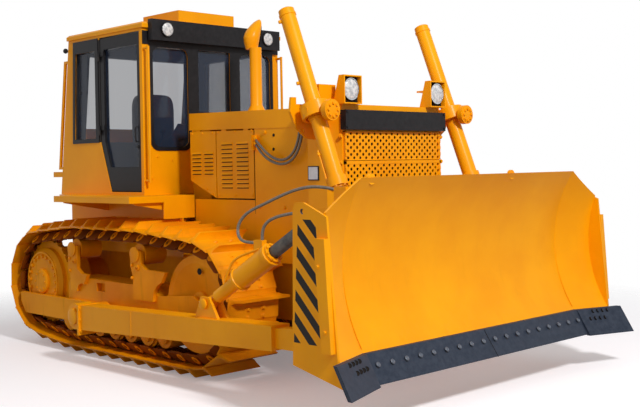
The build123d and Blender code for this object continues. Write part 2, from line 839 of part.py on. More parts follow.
# The outlet is cut off slantwise: y and z of the cut, low and high
outlet_cut = [(36, pipe_top_z - 10), (104, pipe_top_z + 290)]
with BuildPart() as exhaust:
    with BuildSketch(Plane.XY.offset(exhaust_foot_z)):
        with Locations((exhaust_x, 0)):
            Circle(92)
    with BuildSketch(Plane.XY.offset(exhaust_foot_z + 70)):
        with Locations((exhaust_x, 0)):
            Circle(exhaust_r)
    loft()
    with Locations((exhaust_x, 0, exhaust_foot_z + 60)):
        Cylinder(exhaust_r, pipe_top_z - exhaust_foot_z - 60, align=(Align.CENTER, Align.CENTER, Align.MIN))
    for skip, inset, mode in ((0, 0, Mode.ADD), (1, elbow_sheet, Mode.SUBTRACT)):
        for y, z, r, tip in elbow_sections[skip:]:
            with BuildSketch(Plane(origin=(exhaust_x, y, z), x_dir=(1, 0, 0), z_dir=(0, sin(tip), cos(tip)))):
                Circle(r - inset)
        loft(ruled=True, mode=mode)
    with BuildSketch(front(exhaust_x - 200)):
        Polygon(*outlet_cut, (400, outlet_cut[1][1]), (400, outlet_cut[0][1]), align=None)
    extrude(amount=400, mode=Mode.SUBTRACT)
    # strap beside the foot
    with BuildSketch(side(6)):
        Polygon(
            (exhaust_x, exhaust_foot_z), (exhaust_x + 150, exhaust_foot_z), (exhaust_x + 120, exhaust_foot_z + 40),
            (exhaust_x + 70, exhaust_foot_z + 110), (exhaust_x + 40, exhaust_foot_z + 190), align=None,
        )
    extrude(amount=12)
save(exhaust.part, "exhaust_stack")

# ---------------------------------------------------------------- platforms (fenders)
with BuildPart() as platform:
    with BuildSketch(Plane.XY.offset(platform_z - platform_thick)):
        with BuildLine():
            Polyline(
                (platform_rear_x, -platform_outer_y),
                (platform_front_x, -platform_outer_y),
                (platform_front_x, -front_plate_outer_y - seat_gap),
                (platform_front_x - side_plate_thick - seat_gap, -front_plate_outer_y - seat_gap),
                (platform_front_x - side_plate_thick - seat_gap, -hood_half - 4),
                (cab_front_x, -hood_half - 4),
                (cab_front_x, -hull_half),
                (cab_rear_bottom_x + 30, -hull_half),
                (cab_rear_bottom_x + 30, -cab_half - 40),
                (platform_rear_x, -cab_half - 180),
                close=True,
            )
        make_face()
    extrude(amount=platform_thick - seat_gap)
save_both(platform.part, "platforms")

# ---------------------------------------------------------------- cab
cab_inner_half = cab_half - wall


def cab_profile(inset):
    """Side outline of the cab body, its foot and ends moved inwards by a wall."""
    return [
        (cab_rear_bottom_x + inset, cab_floor_z + inset),
        (cab_front_x - inset, cab_floor_z + inset),
        (cab_front_x - inset, cab_roof_z),
        (cab_rear_top_x + inset, cab_roof_z),
    ]


def cab_rear_x(z):
    """Rear face of the cab at height z."""
    return cab_rear_bottom_x + (cab_rear_top_x - cab_rear_bottom_x) * (z - cab_floor_z) / (cab_roof_z - cab_floor_z)


door_outline = [
    (door_taper_x, door_bottom_z),
    (door_front_x, door_bottom_z),
    (door_front_x, door_top_z),
    (door_rear_x, door_top_z),
    (door_rear_x, sill_z),
]
# the pane of a door, over a closed kick panel
door_pane_low_z = 1702
pane_top_z = 2800         # of all side panes
door_pane = [
    (door_taper_x - 16, door_pane_low_z),
    (door_front_x - 46, door_pane_low_z),
    (door_front_x - 46, pane_top_z),
    (door_rear_x + 66, pane_top_z),
    (door_rear_x + 66, sill_z + 10),
]
# black frame on the cab's side round the rear window
frame_front_x = door_rear_x - 22
side_frame = [
    (frame_front_x, sill_z),
    (frame_front_x, door_top_z),
    (cab_rear_x(door_top_z) + 96, door_top_z),
    (cab_rear_x(sill_z) + 186, sill_z),
]
rear_window = [
    (frame_front_x - 50, sill_z + 40),
    (frame_front_x - 50, pane_top_z),
    (cab_rear_x(pane_top_z) + 150, pane_top_z),
    (cab_rear_x(sill_z) + 222, sill_z + 40),
]
# front panes: two beside the hood and one over it
side_pane_y = (310, 700)
side_pane_z = (1877, 2775)
side_pane_corner = 70
centre_pane_half = 190
centre_pane_z = (2203, 2775)
rear_pane_half = 600
rear_pane_z = (1960, 2800)
frame_lap = 34            # black frame round the front panes
frame_thick = 8
# door hinges: heights of their middles; the axis stands just outside the cab's side
hinge_zs = (2050, 2740)
hinge_y = cab_half + 14
knuckle_r = 12
knuckle_pin_r = 6
knuckle_length = 44
leaf_length = 60
hull_leaf_length = 16
leaf_thick = 9
leaf_stand = 7            # of a door's leaf, outside the cab's side
with BuildPart() as cab_body:
    with BuildSketch(side(cab_half)):
        Polygon(*cab_profile(0), align=None)
    extrude(amount=2 * cab_half)
    with BuildSketch(side(cab_inner_half)):
        Polygon(*[(x, z + (1 if z > 2000 else 0)) for x, z in cab_profile(wall)], align=None)
    extrude(amount=2 * cab_inner_half, mode=Mode.SUBTRACT)
    for y in (cab_half + 1, -cab_inner_half):
        with BuildSketch(side(y)):
            Polygon(*door_outline, align=None)
            Polygon(*rear_window, align=None)
        extrude(amount=wall + 1, mode=Mode.SUBTRACT)
    with BuildSketch(front(cab_front_x - wall - 10)):
        for way in (-1, 1):
            with Locations((way * sum(side_pane_y) / 2, sum(side_pane_z) / 2)):
                RectangleRounded(side_pane_y[1] - side_pane_y[0], side_pane_z[1] - side_pane_z[0], side_pane_corner)
        with Locations((0, sum(centre_pane_z) / 2)):
            Rectangle(2 * centre_pane_half, centre_pane_z[1] - centre_pane_z[0])
    extrude(amount=wall + 20, mode=Mode.SUBTRACT)
    with BuildSketch(front(cab_rear_bottom_x - 50)):
        with Locations((0, sum(rear_pane_z) / 2)):
            Rectangle(2 * rear_pane_half, rear_pane_z[1] - rear_pane_z[0])
    extrude(amount=400, mode=Mode.SUBTRACT)
    for way in (-1, 1):
        for z in hinge_zs:
            with Locations((door_rear_x, way * hinge_y, z)):
                Cylinder(knuckle_r, knuckle_length, align=(Align.CENTER, Align.CENTER, Align.MAX))
                Cylinder(knuckle_pin_r, knuckle_length, align=(Align.CENTER, Align.CENTER, Align.MIN))
            with Locations((door_rear_x, way * (cab_half - 1), z)):
                Box(hull_leaf_length, leaf_thick, knuckle_length,
                    align=(Align.MAX, Align.MIN if way > 0 else Align.MAX, Align.MAX))
save(cab_body.part, "cab_body")

# black frames round the fixed panes, on the cab's outside
with BuildPart() as window_frames:
    for way in (-1, 1):
        with BuildSketch(side(way * (cab_half + seat_gap + frame_thick / 2) + frame_thick / 2)):
            Polygon(*side_frame, align=None)
            Polygon(*rear_window, align=None, mode=Mode.SUBTRACT)
        extrude(amount=frame_thick)
    with BuildSketch(front(cab_front_x + seat_gap)):
        for way in (-1, 1):
            with Locations((way * sum(side_pane_y) / 2, (side_pane_z[0] + door_top_z - frame_lap) / 2)):
                RectangleRounded(side_pane_y[1] - side_pane_y[0] + 2 * frame_lap,
                                 door_top_z - side_pane_z[0] + frame_lap, side_pane_corner + 20)
        with Locations((0, (centre_pane_z[0] + door_top_z - frame_lap) / 2)):
            Rectangle(2 * side_pane_y[0], door_top_z - centre_pane_z[0] + frame_lap)
        with Locations((0, door_top_z - 60)):
            Rectangle(2 * (cab_half - 4), 120)
        for way in (-1, 1):
            with Locations((way * sum(side_pane_y) / 2, sum(side_pane_z) / 2)):
                RectangleRounded(side_pane_y[1] - side_pane_y[0], side_pane_z[1] - side_pane_z[0], side_pane_corner,
                                 mode=Mode.SUBTRACT)
        with Locations((0, sum(centre_pane_z) / 2)):
            Rectangle(2 * centre_pane_half, centre_pane_z[1] - centre_pane_z[0], mode=Mode.SUBTRACT)
    extrude(amount=frame_thick)
save(window_frames.part, "window_frames")

roof_rear_x = cab_rear_top_x - 12
roof_front_x = -575
with BuildPart() as cab_roof:
    with BuildSketch(Plane.XY.offset(cab_roof_z + seat_gap)):
        with Locations(((roof_rear_x + roof_front_x) / 2, 0)):
            Rectangle(roof_front_x - roof_rear_x, 2 * (cab_half + 15))
    extrude(amount=roof_thick)
    chamfer(cab_roof.faces().sort_by(Axis.Z)[-1].edges(), 18)
save(cab_roof.part, "cab_roof")

roof_box_half = 330
roof_box_x = (-1270, -700)
roof_box_top_z = 3150
with BuildPart() as roof_box:
    with Locations((sum(roof_box_x) / 2, 0, cab_roof_z + roof_thick + 2 * seat_gap)):
        Box(roof_box_x[1] - roof_box_x[0], 2 * roof_box_half, roof_box_top_z - cab_roof_z - roof_thick,
            align=(Align.CENTER, Align.CENTER, Align.MIN))
save(roof_box.part, "roof_box")

visor_half = 760
visor_front_x = -515
visor_z = (2827, 3014)
visor_lamp_y = 598
visor_lamp_z = 2928
with BuildPart() as visor:
    with BuildSketch(side(visor_half)):
        with BuildLine():
            Polyline(
                (roof_front_x + seat_gap, visor_z[0]),
                (visor_front_x, visor_z[0]),
                (visor_front_x, visor_z[1]),
                (roof_front_x + seat_gap, visor_z[1]),
                close=True,
            )
        make_face()
    extrude(amount=2 * visor_half)
    for y in (-visor_lamp_y, visor_lamp_y):
        with Locations(Location((visor_front_x, y, visor_lamp_z), (0, 90, 0))):
            Cylinder(68, 24)
save(visor.part, "visor")

# window panes fixed in the cab body
pane = 8
with BuildPart() as cab_glass:
    for way in (-1, 1):
        with BuildSketch(side(way * (cab_half - wall / 2) + pane / 2)):
            Polygon(*rear_window, align=None)
            offset(amount=-seat_gap)
        extrude(amount=pane)
    with BuildSketch(front(cab_front_x - wall / 2)):
        for way in (-1, 1):
            with Locations((way * sum(side_pane_y) / 2, sum(side_pane_z) / 2)):
                RectangleRounded(side_pane_y[1] - side_pane_y[0] - 2 * seat_gap,
                                 side_pane_z[1] - side_pane_z[0] - 2 * seat_gap, side_pane_corner)
        with Locations((0, sum(centre_pane_z) / 2)):
            Rectangle(2 * (centre_pane_half - seat_gap), centre_pane_z[1] - centre_pane_z[0] - 2 * seat_gap)
    extrude(amount=pane)
save(cab_glass.part, "cab_glass")

# doors hinged at their rear edge
with BuildPart() as door:
    with BuildSketch(side(-cab_half + wall - 4)):
        Polygon(*door_outline, align=None)
        offset(amount=-hinge_gap)
        Polygon(*door_pane, align=None, mode=Mode.SUBTRACT)
    extrude(amount=wall - 8)
    for z in hinge_zs:
        with Locations((door_rear_x, -hinge_y, z + seat_gap)):
            Cylinder(knuckle_r, knuckle_length, align=(Align.CENTER, Align.CENTER, Align.MIN))
        for start, inner_y in ((3, cab_half + 2), (hinge_gap + 1, cab_half - 6)):
            with Locations((door_rear_x + start, -inner_y, z + seat_gap)):
                Box(leaf_length, cab_half + leaf_stand - inner_y, knuckle_length,
                    align=(Align.MIN, Align.MAX, Align.MIN))
        with Locations((door_rear_x, -hinge_y, z + seat_gap)):
            Cylinder(knuckle_pin_r + seat_gap, knuckle_length,
                     align=(Align.CENTER, Align.CENTER, Align.MIN), mode=Mode.SUBTRACT)
save_pair(door.part, "cab_door")

with BuildPart() as door_glass:
    with BuildSketch(side(-cab_half + wall / 2 + pane / 2)):
        Polygon(*door_pane, align=None)
        offset(amount=-seat_gap)
    extrude(amount=pane)
save_pair(door_glass.part, "door_glass")

# seat and console
with BuildPart() as seat:
    with Locations((-1380, 0, cab_floor_z + wall + seat_gap)):
        Box(380, 380, 260, align=(Align.CENTER, Align.CENTER, Align.MIN))
    with Locations((-1370, 0, cab_floor_z + wall + 260)):
        Box(520, 520, 130, align=(Align.CENTER, Align.CENTER, Align.MIN))
    with Locations((-1620, 0, cab_floor_z + wall + 340)):
        Box(120, 500, 600, align=(Align.CENTER, Align.CENTER, Align.MIN))
save(seat.part, "seat")

with BuildPart() as console:
    with BuildSketch(side(300)):
        with BuildLine():
            Polyline(
                (cab_front_x - wall - seat_gap, cab_floor_z + wall + seat_gap),
                (cab_front_x - wall - seat_gap, 2080),
                (cab_front_x - wall - 120, 2100),
                (cab_front_x - wall - 260, 1960),
                (cab_front_x - wall - 200, cab_floor_z + wall + seat_gap),
                close=True,
            )
        make_face()
    extrude(amount=600)
save(console.part, "console")

# ---------------------------------------------------------------- blade
hollow_r = ((blade_top_z - blade_foot_z) ** 2 / 4 + blade_hollow ** 2) / (2 * blade_hollow)
mid_x = (blade_top_x + blade_foot_x) / 2 - blade_hollow
mid_z = (blade_top_z + blade_foot_z) / 2
wing_slope = wing_forward / (blade_half - fold_y)


def blade_section(forward=0):
    """Closed section of the blade plate: arc front and parallel arc back."""
    with BuildLine() as line:
        a = ThreePointArc(
            (blade_foot_x + forward, blade_foot_z), (mid_x + forward, mid_z), (blade_top_x + forward, blade_top_z)
        )
        b = ThreePointArc(
            (blade_foot_x + forward - plate, blade_foot_z), (mid_x + forward - plate, mid_z),
            (blade_top_x + forward - plate, blade_top_z)
        )
        Line(a @ 0, b @ 0)
        Line(a @ 1, b @ 1)
    return line


end_plate_thick = 18
wing_end_y = blade_half - end_plate_thick - seat_gap
wing_end_forward = wing_slope * (wing_end_y - fold_y)
corner_low_z = 1376       # the wings' top corners are cut down to this at the ends
with BuildPart() as blade:
    with BuildSketch(side(fold_y)):
        with BuildLine():
            add(blade_section().line)
        make_face()
    extrude(amount=2 * fold_y)
    for way in (-1, 1):
        with BuildSketch(side(way * fold_y)):
            with BuildLine():
                add(blade_section().line)
            make_face()
        with BuildSketch(side(way * wing_end_y)):
            with BuildLine():
                add(blade_section(wing_end_forward).line)
            make_face()
        loft(ruled=True)
    for way in (-1, 1):
        with BuildSketch(front(blade_foot_x - 400)):
            with BuildLine():
                Polyline(
                    (way * fold_y, blade_top_z),
                    (way * (blade_half + 5), corner_low_z),
                    (way * (blade_half + 5), blade_top_z + 5),
                    (way * fold_y, blade_top_z + 5),
                    close=True,
                )
            make_face()
        extrude(amount=900, mode=Mode.SUBTRACT)
save(blade.part, "blade")


def back_arc(forward=0):
    """Arc just behind the blade plate's back, from its foot to its top."""
    back = forward - plate - seat_gap
    with BuildLine() as line:
        ThreePointArc(
            (blade_foot_x + back, blade_foot_z), (mid_x + back, mid_z), (blade_top_x + back, blade_top_z)
        )
    return line


def wing_x(z):
    """Front face of a wing at its outer end, at height z."""
    return mid_x + wing_end_forward + hollow_r - sqrt(hollow_r ** 2 - (z - mid_z) ** 2)


# end plates with their wear bars
bit_ahead = 25            # how far the end bit's foot stands ahead of the cutting edge's
bit_below = 8
bit_foot_x = blade_foot_x + edge_drop_x + bit_ahead
bit_foot_z = blade_foot_z - edge_drop_z - bit_below
end_plate_hole_r = 18
end_plate_hole = (mid_x - 6, corner_low_z + 19)
end_plate_low_z = 304
end_plate_low_x = (
    blade_foot_x + wing_end_forward - 1
    + (bit_foot_x - bit_thick - blade_foot_x) * (blade_foot_z - end_plate_low_z) / (blade_foot_z - bit_foot_z)
)
# Outline of an end plate from its rear foot upwards
end_plate_outline = [
    (mid_x - 116, blade_foot_z - 60),
    (mid_x - 94, corner_low_z + 27),
    (mid_x - 72, corner_low_z + 75),
    (mid_x + 5, corner_low_z + 76),
    (wing_x(corner_low_z) + 30, corner_low_z - 10),
    (blade_foot_x + wing_end_forward + 1.5, blade_foot_z + 8),
    (blade_foot_x + wing_end_forward - 1, blade_foot_z),
    (end_plate_low_x, end_plate_low_z),
]
wear_bar_thick = 40
wear_bar_z = (blade_foot_z + 55, corner_low_z - 144)
wear_bar_outline = [
    (wing_x(wear_bar_z[1]) - 6, wear_bar_z[1]),
    (wing_x(wear_bar_z[1]) + 88, wear_bar_z[1]),
    (wing_x(wear_bar_z[0]) + 9, wear_bar_z[0]),
    (wing_x(wear_bar_z[0]) - 73, wear_bar_z[0]),
]
with BuildPart() as end_plate:
    with BuildSketch(side(-blade_half + end_plate_thick)):
        Polygon(*end_plate_outline, align=None)
        with Locations(end_plate_hole):
            Circle(end_plate_hole_r, mode=Mode.SUBTRACT)
    extrude(amount=end_plate_thick)
    with BuildSketch(side(-blade_half + 1)):
        Polygon(*wear_bar_outline, align=None)
    extrude(amount=wear_bar_thick + 1)
save_both(end_plate.part, "end_plates")

with BuildPart() as cutting_edge:
    with BuildSketch(side(fold_y - 2)):
        Polygon(
            (blade_foot_x - 6, blade_foot_z - seat_gap),
            (blade_foot_x + edge_thick, blade_foot_z - seat_gap),
            (blade_foot_x + edge_drop_x, blade_foot_z - edge_drop_z),
            (blade_foot_x + edge_drop_x - edge_thick, blade_foot_z - edge_drop_z),
            align=None,
        )
    extrude(amount=2 * fold_y - 4)
save(cutting_edge.part, "cutting_edge")

with BuildPart() as end_bit:
    for y, forward in ((fold_y, 0), (bit_half, wing_slope * (bit_half - fold_y))):
        with BuildSketch(side(-y)):
            Polygon(
                (blade_foot_x + forward, blade_foot_z - seat_gap),
                (blade_foot_x + forward + bit_thick, blade_foot_z - seat_gap),
                (bit_foot_x + forward, bit_foot_z),
                (bit_foot_x + forward - bit_thick, bit_foot_z),
                align=None,
            )
    loft(ruled=True)
save_both(end_bit.part, "end_bits")

# ---------------------------------------------------------------- push arms
back_beam_rear_x = 2150    # rear face of the beam across the blade's foot
arm_slope = (arm_front_top_z - arm_rear_top_z) / (arm_front_x - trunnion_x)
ball_case_r = 112
lug_thick = 60
blade_ear_thick = 24
with BuildPart() as push_arm:
    with BuildSketch(side(-arm_outer_y + arm_width)):
        with BuildLine():
            Polyline(
                (trunnion_x + 60, arm_rear_top_z),
                (arm_front_x, arm_front_top_z),
                (arm_front_x, arm_front_bottom_z),
                (trunnion_x + 60, arm_rear_bottom_z),
                close=True,
            )
        make_face()
    extrude(amount=arm_width)
    # bearing case on the trunnion, with its flange
    with Locations(Location((trunnion_x, -arm_y, trunnion_z), (90, 0, 0))):
        Cylinder(ball_case_r, arm_width - 20)
    with BuildSketch(front(trunnion_x + 90)):
        with Locations((-arm_y, trunnion_z - 20)):
            Rectangle(arm_width + 40, 260)
    extrude(amount=24)
    with Locations(Location((trunnion_x, -arm_y, trunnion_z), (90, 0, 0))):
        Cylinder(trunnion_r + seat_gap, arm_width + 60, mode=Mode.SUBTRACT)
    with Locations(Location((trunnion_x, -arm_y - 62, trunnion_z), (90, 0, 0))):
        Cylinder(trunnion_r + 12, 26)
    # front neck that meets the blade's back
    with BuildSketch(side(-arm_y + lug_thick / 2 + 20)):
        with BuildLine():
            Polyline(
                (arm_front_x - 1, arm_front_top_z - 20),
                (back_beam_rear_x - 40, arm_front_top_z + 10),
                (back_beam_rear_x - seat_gap, arm_front_top_z + 10),
                (back_beam_rear_x - seat_gap, arm_front_bottom_z + 90),
                (back_beam_rear_x - 40, arm_front_bottom_z + 20),
                (arm_front_x - 1, arm_front_bottom_z + 15),
                close=True,
            )
        make_face()
    extrude(amount=lug_thick + 40)
    # ears that hold the brace's lower eye
    with Locations(Location((brace_low_x, -brace_low_y, brace_low_z), (90, 0, 0))):
        Cylinder(brace_pin_r, 2 * 56 + 16)
    for y in (-brace_low_y + 56, -brace_low_y - 32):
        with BuildSketch(side(y)):
            with BuildLine():
                Polyline(
                    (brace_low_x - 120, arm_rear_top_z + arm_slope * (brace_low_x - 120 - trunnion_x) - 5),
                    (brace_low_x - 50, brace_low_z + 50),
                    (brace_low_x + 50, brace_low_z + 50),
                    (brace_low_x + 150, arm_rear_top_z + arm_slope * (brace_low_x + 150 - trunnion_x) - 5),
                    close=True,
                )
            make_face()
        extrude(amount=24)
save_both(push_arm.part, "push_arms")

# ---------------------------------------------------------------- braces
brace_length = sqrt(
    (brace_top_x - brace_low_x) ** 2 + (brace_top_y - brace_low_y) ** 2 + (brace_top_z - brace_low_z) ** 2
)
brace_plane = Plane(
    origin=(brace_low_x, -brace_low_y, brace_low_z),
    x_dir=(0, 1, 0),
    z_dir=(brace_top_x - brace_low_x, brace_low_y - brace_top_y, brace_top_z - brace_low_z),
)
neck_r = 27               # between the ears
neck_reach = 100
eye_half = 30
# Stretches of the hydraulic brace: start and end as distances from the lower eye, radius
tilt_stretches = [
    (0, 110, neck_r),
    (100, 372, 50),
    (362, 752, 80),
    (750, 772, 72),
]
tilt_end = tilt_stretches[-1][1]
tilt_rod_r = 46
port_block_x = (1460, 1552)
port_block_z = (1060, 1165)
with BuildPart() as tilt_cylinder:
    for start, end, r in tilt_stretches:
        with BuildSketch(brace_plane.offset(start)):
            Circle(r)
        extrude(amount=end - start)
    with Locations(Location((brace_low_x, -brace_low_y, brace_low_z), (90, 0, 0))):
        Cylinder(48, 2 * eye_half)
        Cylinder(brace_pin_r + seat_gap, 2 * eye_half, mode=Mode.SUBTRACT)
    # block on the barrel that both hoses come out of
    with Locations((port_block_x[0], tilt_hose_points[0][1], port_block_z[0])):
        Box(port_block_x[1] - port_block_x[0], 44, port_block_z[1] - port_block_z[0],
            align=(Align.MIN, Align.CENTER, Align.MIN))
save(tilt_cylinder.part, "tilt_cylinder")

with BuildPart() as tilt_rod:
    with BuildSketch(brace_plane.offset(tilt_end + seat_gap)):
        Circle(tilt_rod_r)
    extrude(amount=brace_length - neck_reach - tilt_end - seat_gap)
    with BuildSketch(brace_plane.offset(brace_length - neck_reach - 1)):
        Circle(neck_r)
    extrude(amount=neck_reach)
    with Locations(Location((brace_top_x, -brace_top_y, brace_top_z), (90, 0, 0))):
        Cylinder(56, 2 * eye_half)
        Cylinder(brace_pin_r + seat_gap, 2 * eye_half, mode=Mode.SUBTRACT)
save(tilt_rod.part, "tilt_rod")

# Stretches of the screw brace, in the same columns
screw_stretches = [
    (0, 110, neck_r),
    (100, 420, 44),
    (400, 470, 66),
    (450, 980, 54),
    (960, brace_length - neck_reach, 40),
    (brace_length - neck_reach - 10, brace_length, neck_r),
]
with BuildPart() as screw_brace:
    for start, end, r in screw_stretches:
        with BuildSketch(brace_plane.offset(start)):
            Circle(r)
        extrude(amount=end - start)
    with Locations(Location((brace_low_x, -brace_low_y, brace_low_z), (90, 0, 0))):
        Cylinder(48, 2 * eye_half)
        Cylinder(brace_pin_r + seat_gap, 2 * eye_half, mode=Mode.SUBTRACT)
    with Locations(Location((brace_top_x, -brace_top_y, brace_top_z), (90, 0, 0))):
        Cylinder(56, 2 * eye_half)
        Cylinder(brace_pin_r + seat_gap, 2 * eye_half, mode=Mode.SUBTRACT)
save(mirror(screw_brace.part, about=Plane.XZ), "screw_brace")

# beams on the blade's back, with the ears for braces and lift rods
# beam: lower edge, upper edge, rear face, half length
back_beams = [
    (500, 700, back_beam_rear_x, wing_end_y),
    (1330, 1540, 2215, fold_y),
]
rib_ys = (-1250, -930, -620, -310, 0, 310, 620, 930, 1250)
rib_thick = 20
rib_rear_x = 2215
with BuildPart() as blade_back:
    for low, high, deep, half in back_beams:
        with BuildSketch(side(half)):
            with BuildLine():
                Polyline((deep, low), (mid_x - plate + 60, low), (mid_x - plate + 60, high), (deep, high), close=True)
            make_face()
        extrude(amount=2 * half)
    for y in rib_ys:
        with BuildSketch(side(y + rib_thick / 2)):
            with Locations(((rib_rear_x + mid_x - plate) / 2 + 15, (back_beams[0][1] + back_beams[1][0]) / 2)):
                Rectangle(mid_x - plate - rib_rear_x + 60, back_beams[1][0] - back_beams[0][1] + 10)
        extrude(amount=rib_thick)
    # room for the lift rods' eyes
    for way in (-1, 1):
        with Locations(Location((rod_pin_x, way * cylinder_y, rod_pin_z), (90, 0, 0))):
            Cylinder(eye_r + 24, 2 * rod_ear_inner + 2, mode=Mode.SUBTRACT)
    for way in (-1, 1):
        for y in (brace_top_y + 32, brace_top_y - 32 - blade_ear_thick):
            with BuildSketch(side(-y if way < 0 else y + blade_ear_thick)):
                with BuildLine():
                    Polyline(
                        (brace_top_x - 60, brace_top_z - 70),
                        (brace_top_x - 60, brace_top_z + 70),
                        (mid_x + 300, brace_top_z + 130),
                        (mid_x + 300, brace_top_z - 150),
                        close=True,
                    )
                make_face()
            extrude(amount=blade_ear_thick)
        with Locations(Location((brace_top_x, way * brace_top_y, brace_top_z), (90, 0, 0))):
            Cylinder(brace_pin_r, 2 * (32 + blade_ear_thick) + 16)
        for y in (cylinder_y + rod_ear_inner, cylinder_y - rod_ear_inner - blade_ear_thick):
            with BuildSketch(side(-y if way < 0 else y + blade_ear_thick)):
                with BuildLine():
                    Polyline(
                        (rod_pin_x - 60, rod_pin_z - 60),
                        (rod_pin_x - 60, rod_pin_z + 60),
                        (mid_x + 200, rod_pin_z + 120),
                        (mid_x + 200, rod_pin_z - 120),
                        close=True,
                    )
                make_face()
            extrude(amount=blade_ear_thick)
        with Locations(Location((rod_pin_x, way * cylinder_y, rod_pin_z), (90, 0, 0))):
            Cylinder(rod_pin_r, 2 * (rod_ear_inner + blade_ear_thick) + 20)
    # fittings of the tilt hoses
    for x, y, z in (tilt_hose_points[-1], tilt_hose_low_points[-1]):
        with Locations(Location((x + seat_gap, y, z), (0, 90, 0))):
            Cylinder(port_r, port_length, align=(Align.CENTER, Align.CENTER, Align.MIN))
    with BuildSketch(side(blade_half)):
        with BuildLine():
            add(back_arc().line)
            Polyline(
                (blade_top_x - plate - seat_gap, blade_top_z), (blade_top_x + 400, blade_top_z),
                (blade_top_x + 400, blade_foot_z), (blade_foot_x - plate - seat_gap, blade_foot_z)
            )
        make_face()
    extrude(amount=2 * blade_half, mode=Mode.SUBTRACT)
save(blade_back.part, "blade_back")

# ---------------------------------------------------------------- lift cylinders
lean = atan2(rod_pin_x - cylinder_pivot_x, cylinder_pivot_z - rod_pin_z)
pin_reach = hypot(rod_pin_x - cylinder_pivot_x, cylinder_pivot_z - rod_pin_z)
barrel_plane = Plane(
    origin=(cylinder_pivot_x, -cylinder_y, cylinder_pivot_z),
    x_dir=(0, 1, 0),
    z_dir=(sin(lean), 0, -cos(lean)),
)
gimbal_pin_r = 30
gland_length = 84
gland_stand = 15
collar_half = 52
collar_stand = 12
ring_inner_r = barrel_r + 30
ring_outer_r = ring_inner_r + 24
ring_half = 50
with BuildPart() as lift_cylinder:
    with BuildSketch(barrel_plane.offset(-barrel_top_reach)):
        Circle(barrel_r)
    extrude(amount=barrel_top_reach + barrel_gland_reach)
    with BuildSketch(barrel_plane.offset(barrel_gland_reach - gland_length)):
        Circle(barrel_r + gland_stand)
    extrude(amount=gland_length - 12)
    with BuildSketch(barrel_plane.offset(-collar_half)):
        Circle(barrel_r + collar_stand)
    extrude(amount=2 * collar_half)
    with Locations(Location((cylinder_pivot_x, -cylinder_y, cylinder_pivot_z), (90, 0, 0))):
        Cylinder(gimbal_pin_r, 2 * ring_outer_r)
    with BuildSketch(barrel_plane.offset(-barrel_top_reach + 30)):
        Circle(rod_r + seat_gap)
    extrude(amount=barrel_top_reach + barrel_gland_reach, mode=Mode.SUBTRACT)
save_pair(lift_cylinder.part, "lift_cylinder")

with BuildPart() as lift_rod:
    with BuildSketch(barrel_plane.offset(pin_reach - rod_length)):
        Circle(rod_r)
    extrude(amount=rod_length - eye_r + 12)
    with Locations(Location((rod_pin_x, -cylinder_y, rod_pin_z), (90, 0, 0))):
        Cylinder(eye_r, 2 * (rod_ear_inner - hinge_gap))
        Cylinder(rod_pin_r + rod_drift, 90, mode=Mode.SUBTRACT)
save_pair(lift_rod.part, "lift_rod")

# rings on the guard's sides that hold the barrels' pins
yoke_thick = 22
disc_r = 78
disc_x = (1714, 1760)
neck_holder_r = 42
fore_neck_rear_x = cylinder_pivot_x + ring_outer_r - 8
rear_neck_front_x = cylinder_pivot_x - ring_outer_r + 8
bracket_rear_x = 1513     # corner bracket on the guard
bracket_thick = 22
bracket_top_z = 2290
bearing_x = 1437
guard_side_y = guard_half + guard_swell + seat_gap
# Outline of the arched plate behind the barrel, as y and z
bearing_outline = [
    (-guard_side_y, 1875),
    (-760, 1885),
    (-872, 1962),
    (-930, 2085),
    (-916, 2190),
    (-868, 2190),
    (-868, 2140),
    (-714, 2140),
    (-714, 2230),
    (-guard_side_y, 2230),
]
# Outline of the corner bracket beside the barrel
bracket_outline = [
    (-guard_side_y, 1905),
    (-698, 1965),
    (-706, bracket_top_z),
    (-530, bracket_top_z),
    (-530, guard_top_z + seat_gap),
    (-guard_side_y, guard_top_z + seat_gap),
]
with BuildPart() as lift_yoke:
    with BuildSketch(barrel_plane.offset(-ring_half)):
        Circle(ring_outer_r)
        Circle(ring_inner_r, mode=Mode.SUBTRACT)
    extrude(amount=2 * ring_half)
    with Locations(Location((cylinder_pivot_x, -cylinder_y, cylinder_pivot_z), (90, 0, 0))):
        Cylinder(gimbal_pin_r + seat_gap, 4 * ring_outer_r, mode=Mode.SUBTRACT)
    # bearing cap ahead, and the necks that hold the ring
    for rear_x, front_x, r in (
        (*disc_x, disc_r),
        (fore_neck_rear_x, disc_x[0] + 1, neck_holder_r),
        (bearing_x + 1, rear_neck_front_x, neck_holder_r),
    ):
        with Locations(Location((rear_x, -cylinder_y, cylinder_pivot_z), (0, 90, 0))):
            Cylinder(r, front_x - rear_x, align=(Align.CENTER, Align.CENTER, Align.MIN))
    with BuildSketch(front(bearing_x)):
        Polygon(*bearing_outline, align=None)
    extrude(amount=yoke_thick)
    with BuildSketch(front(bracket_rear_x)):
        Polygon(*bracket_outline, align=None)
    extrude(amount=bracket_thick)
    # top flange of the bracket, and the web that ties it to the arched plate
    with Locations((bearing_x, -618, bracket_top_z)):
        Box(bracket_rear_x + bracket_thick - bearing_x, 176, 14, align=(Align.MIN, Align.CENTER, Align.MAX))
    with Locations((bearing_x, -guard_side_y, bracket_top_z)):
        Box(bracket_rear_x + bracket_thick - bearing_x, 14, 150, align=(Align.MIN, Align.MAX, Align.MAX))
save_both(lift_yoke.part, "lift_yokes")

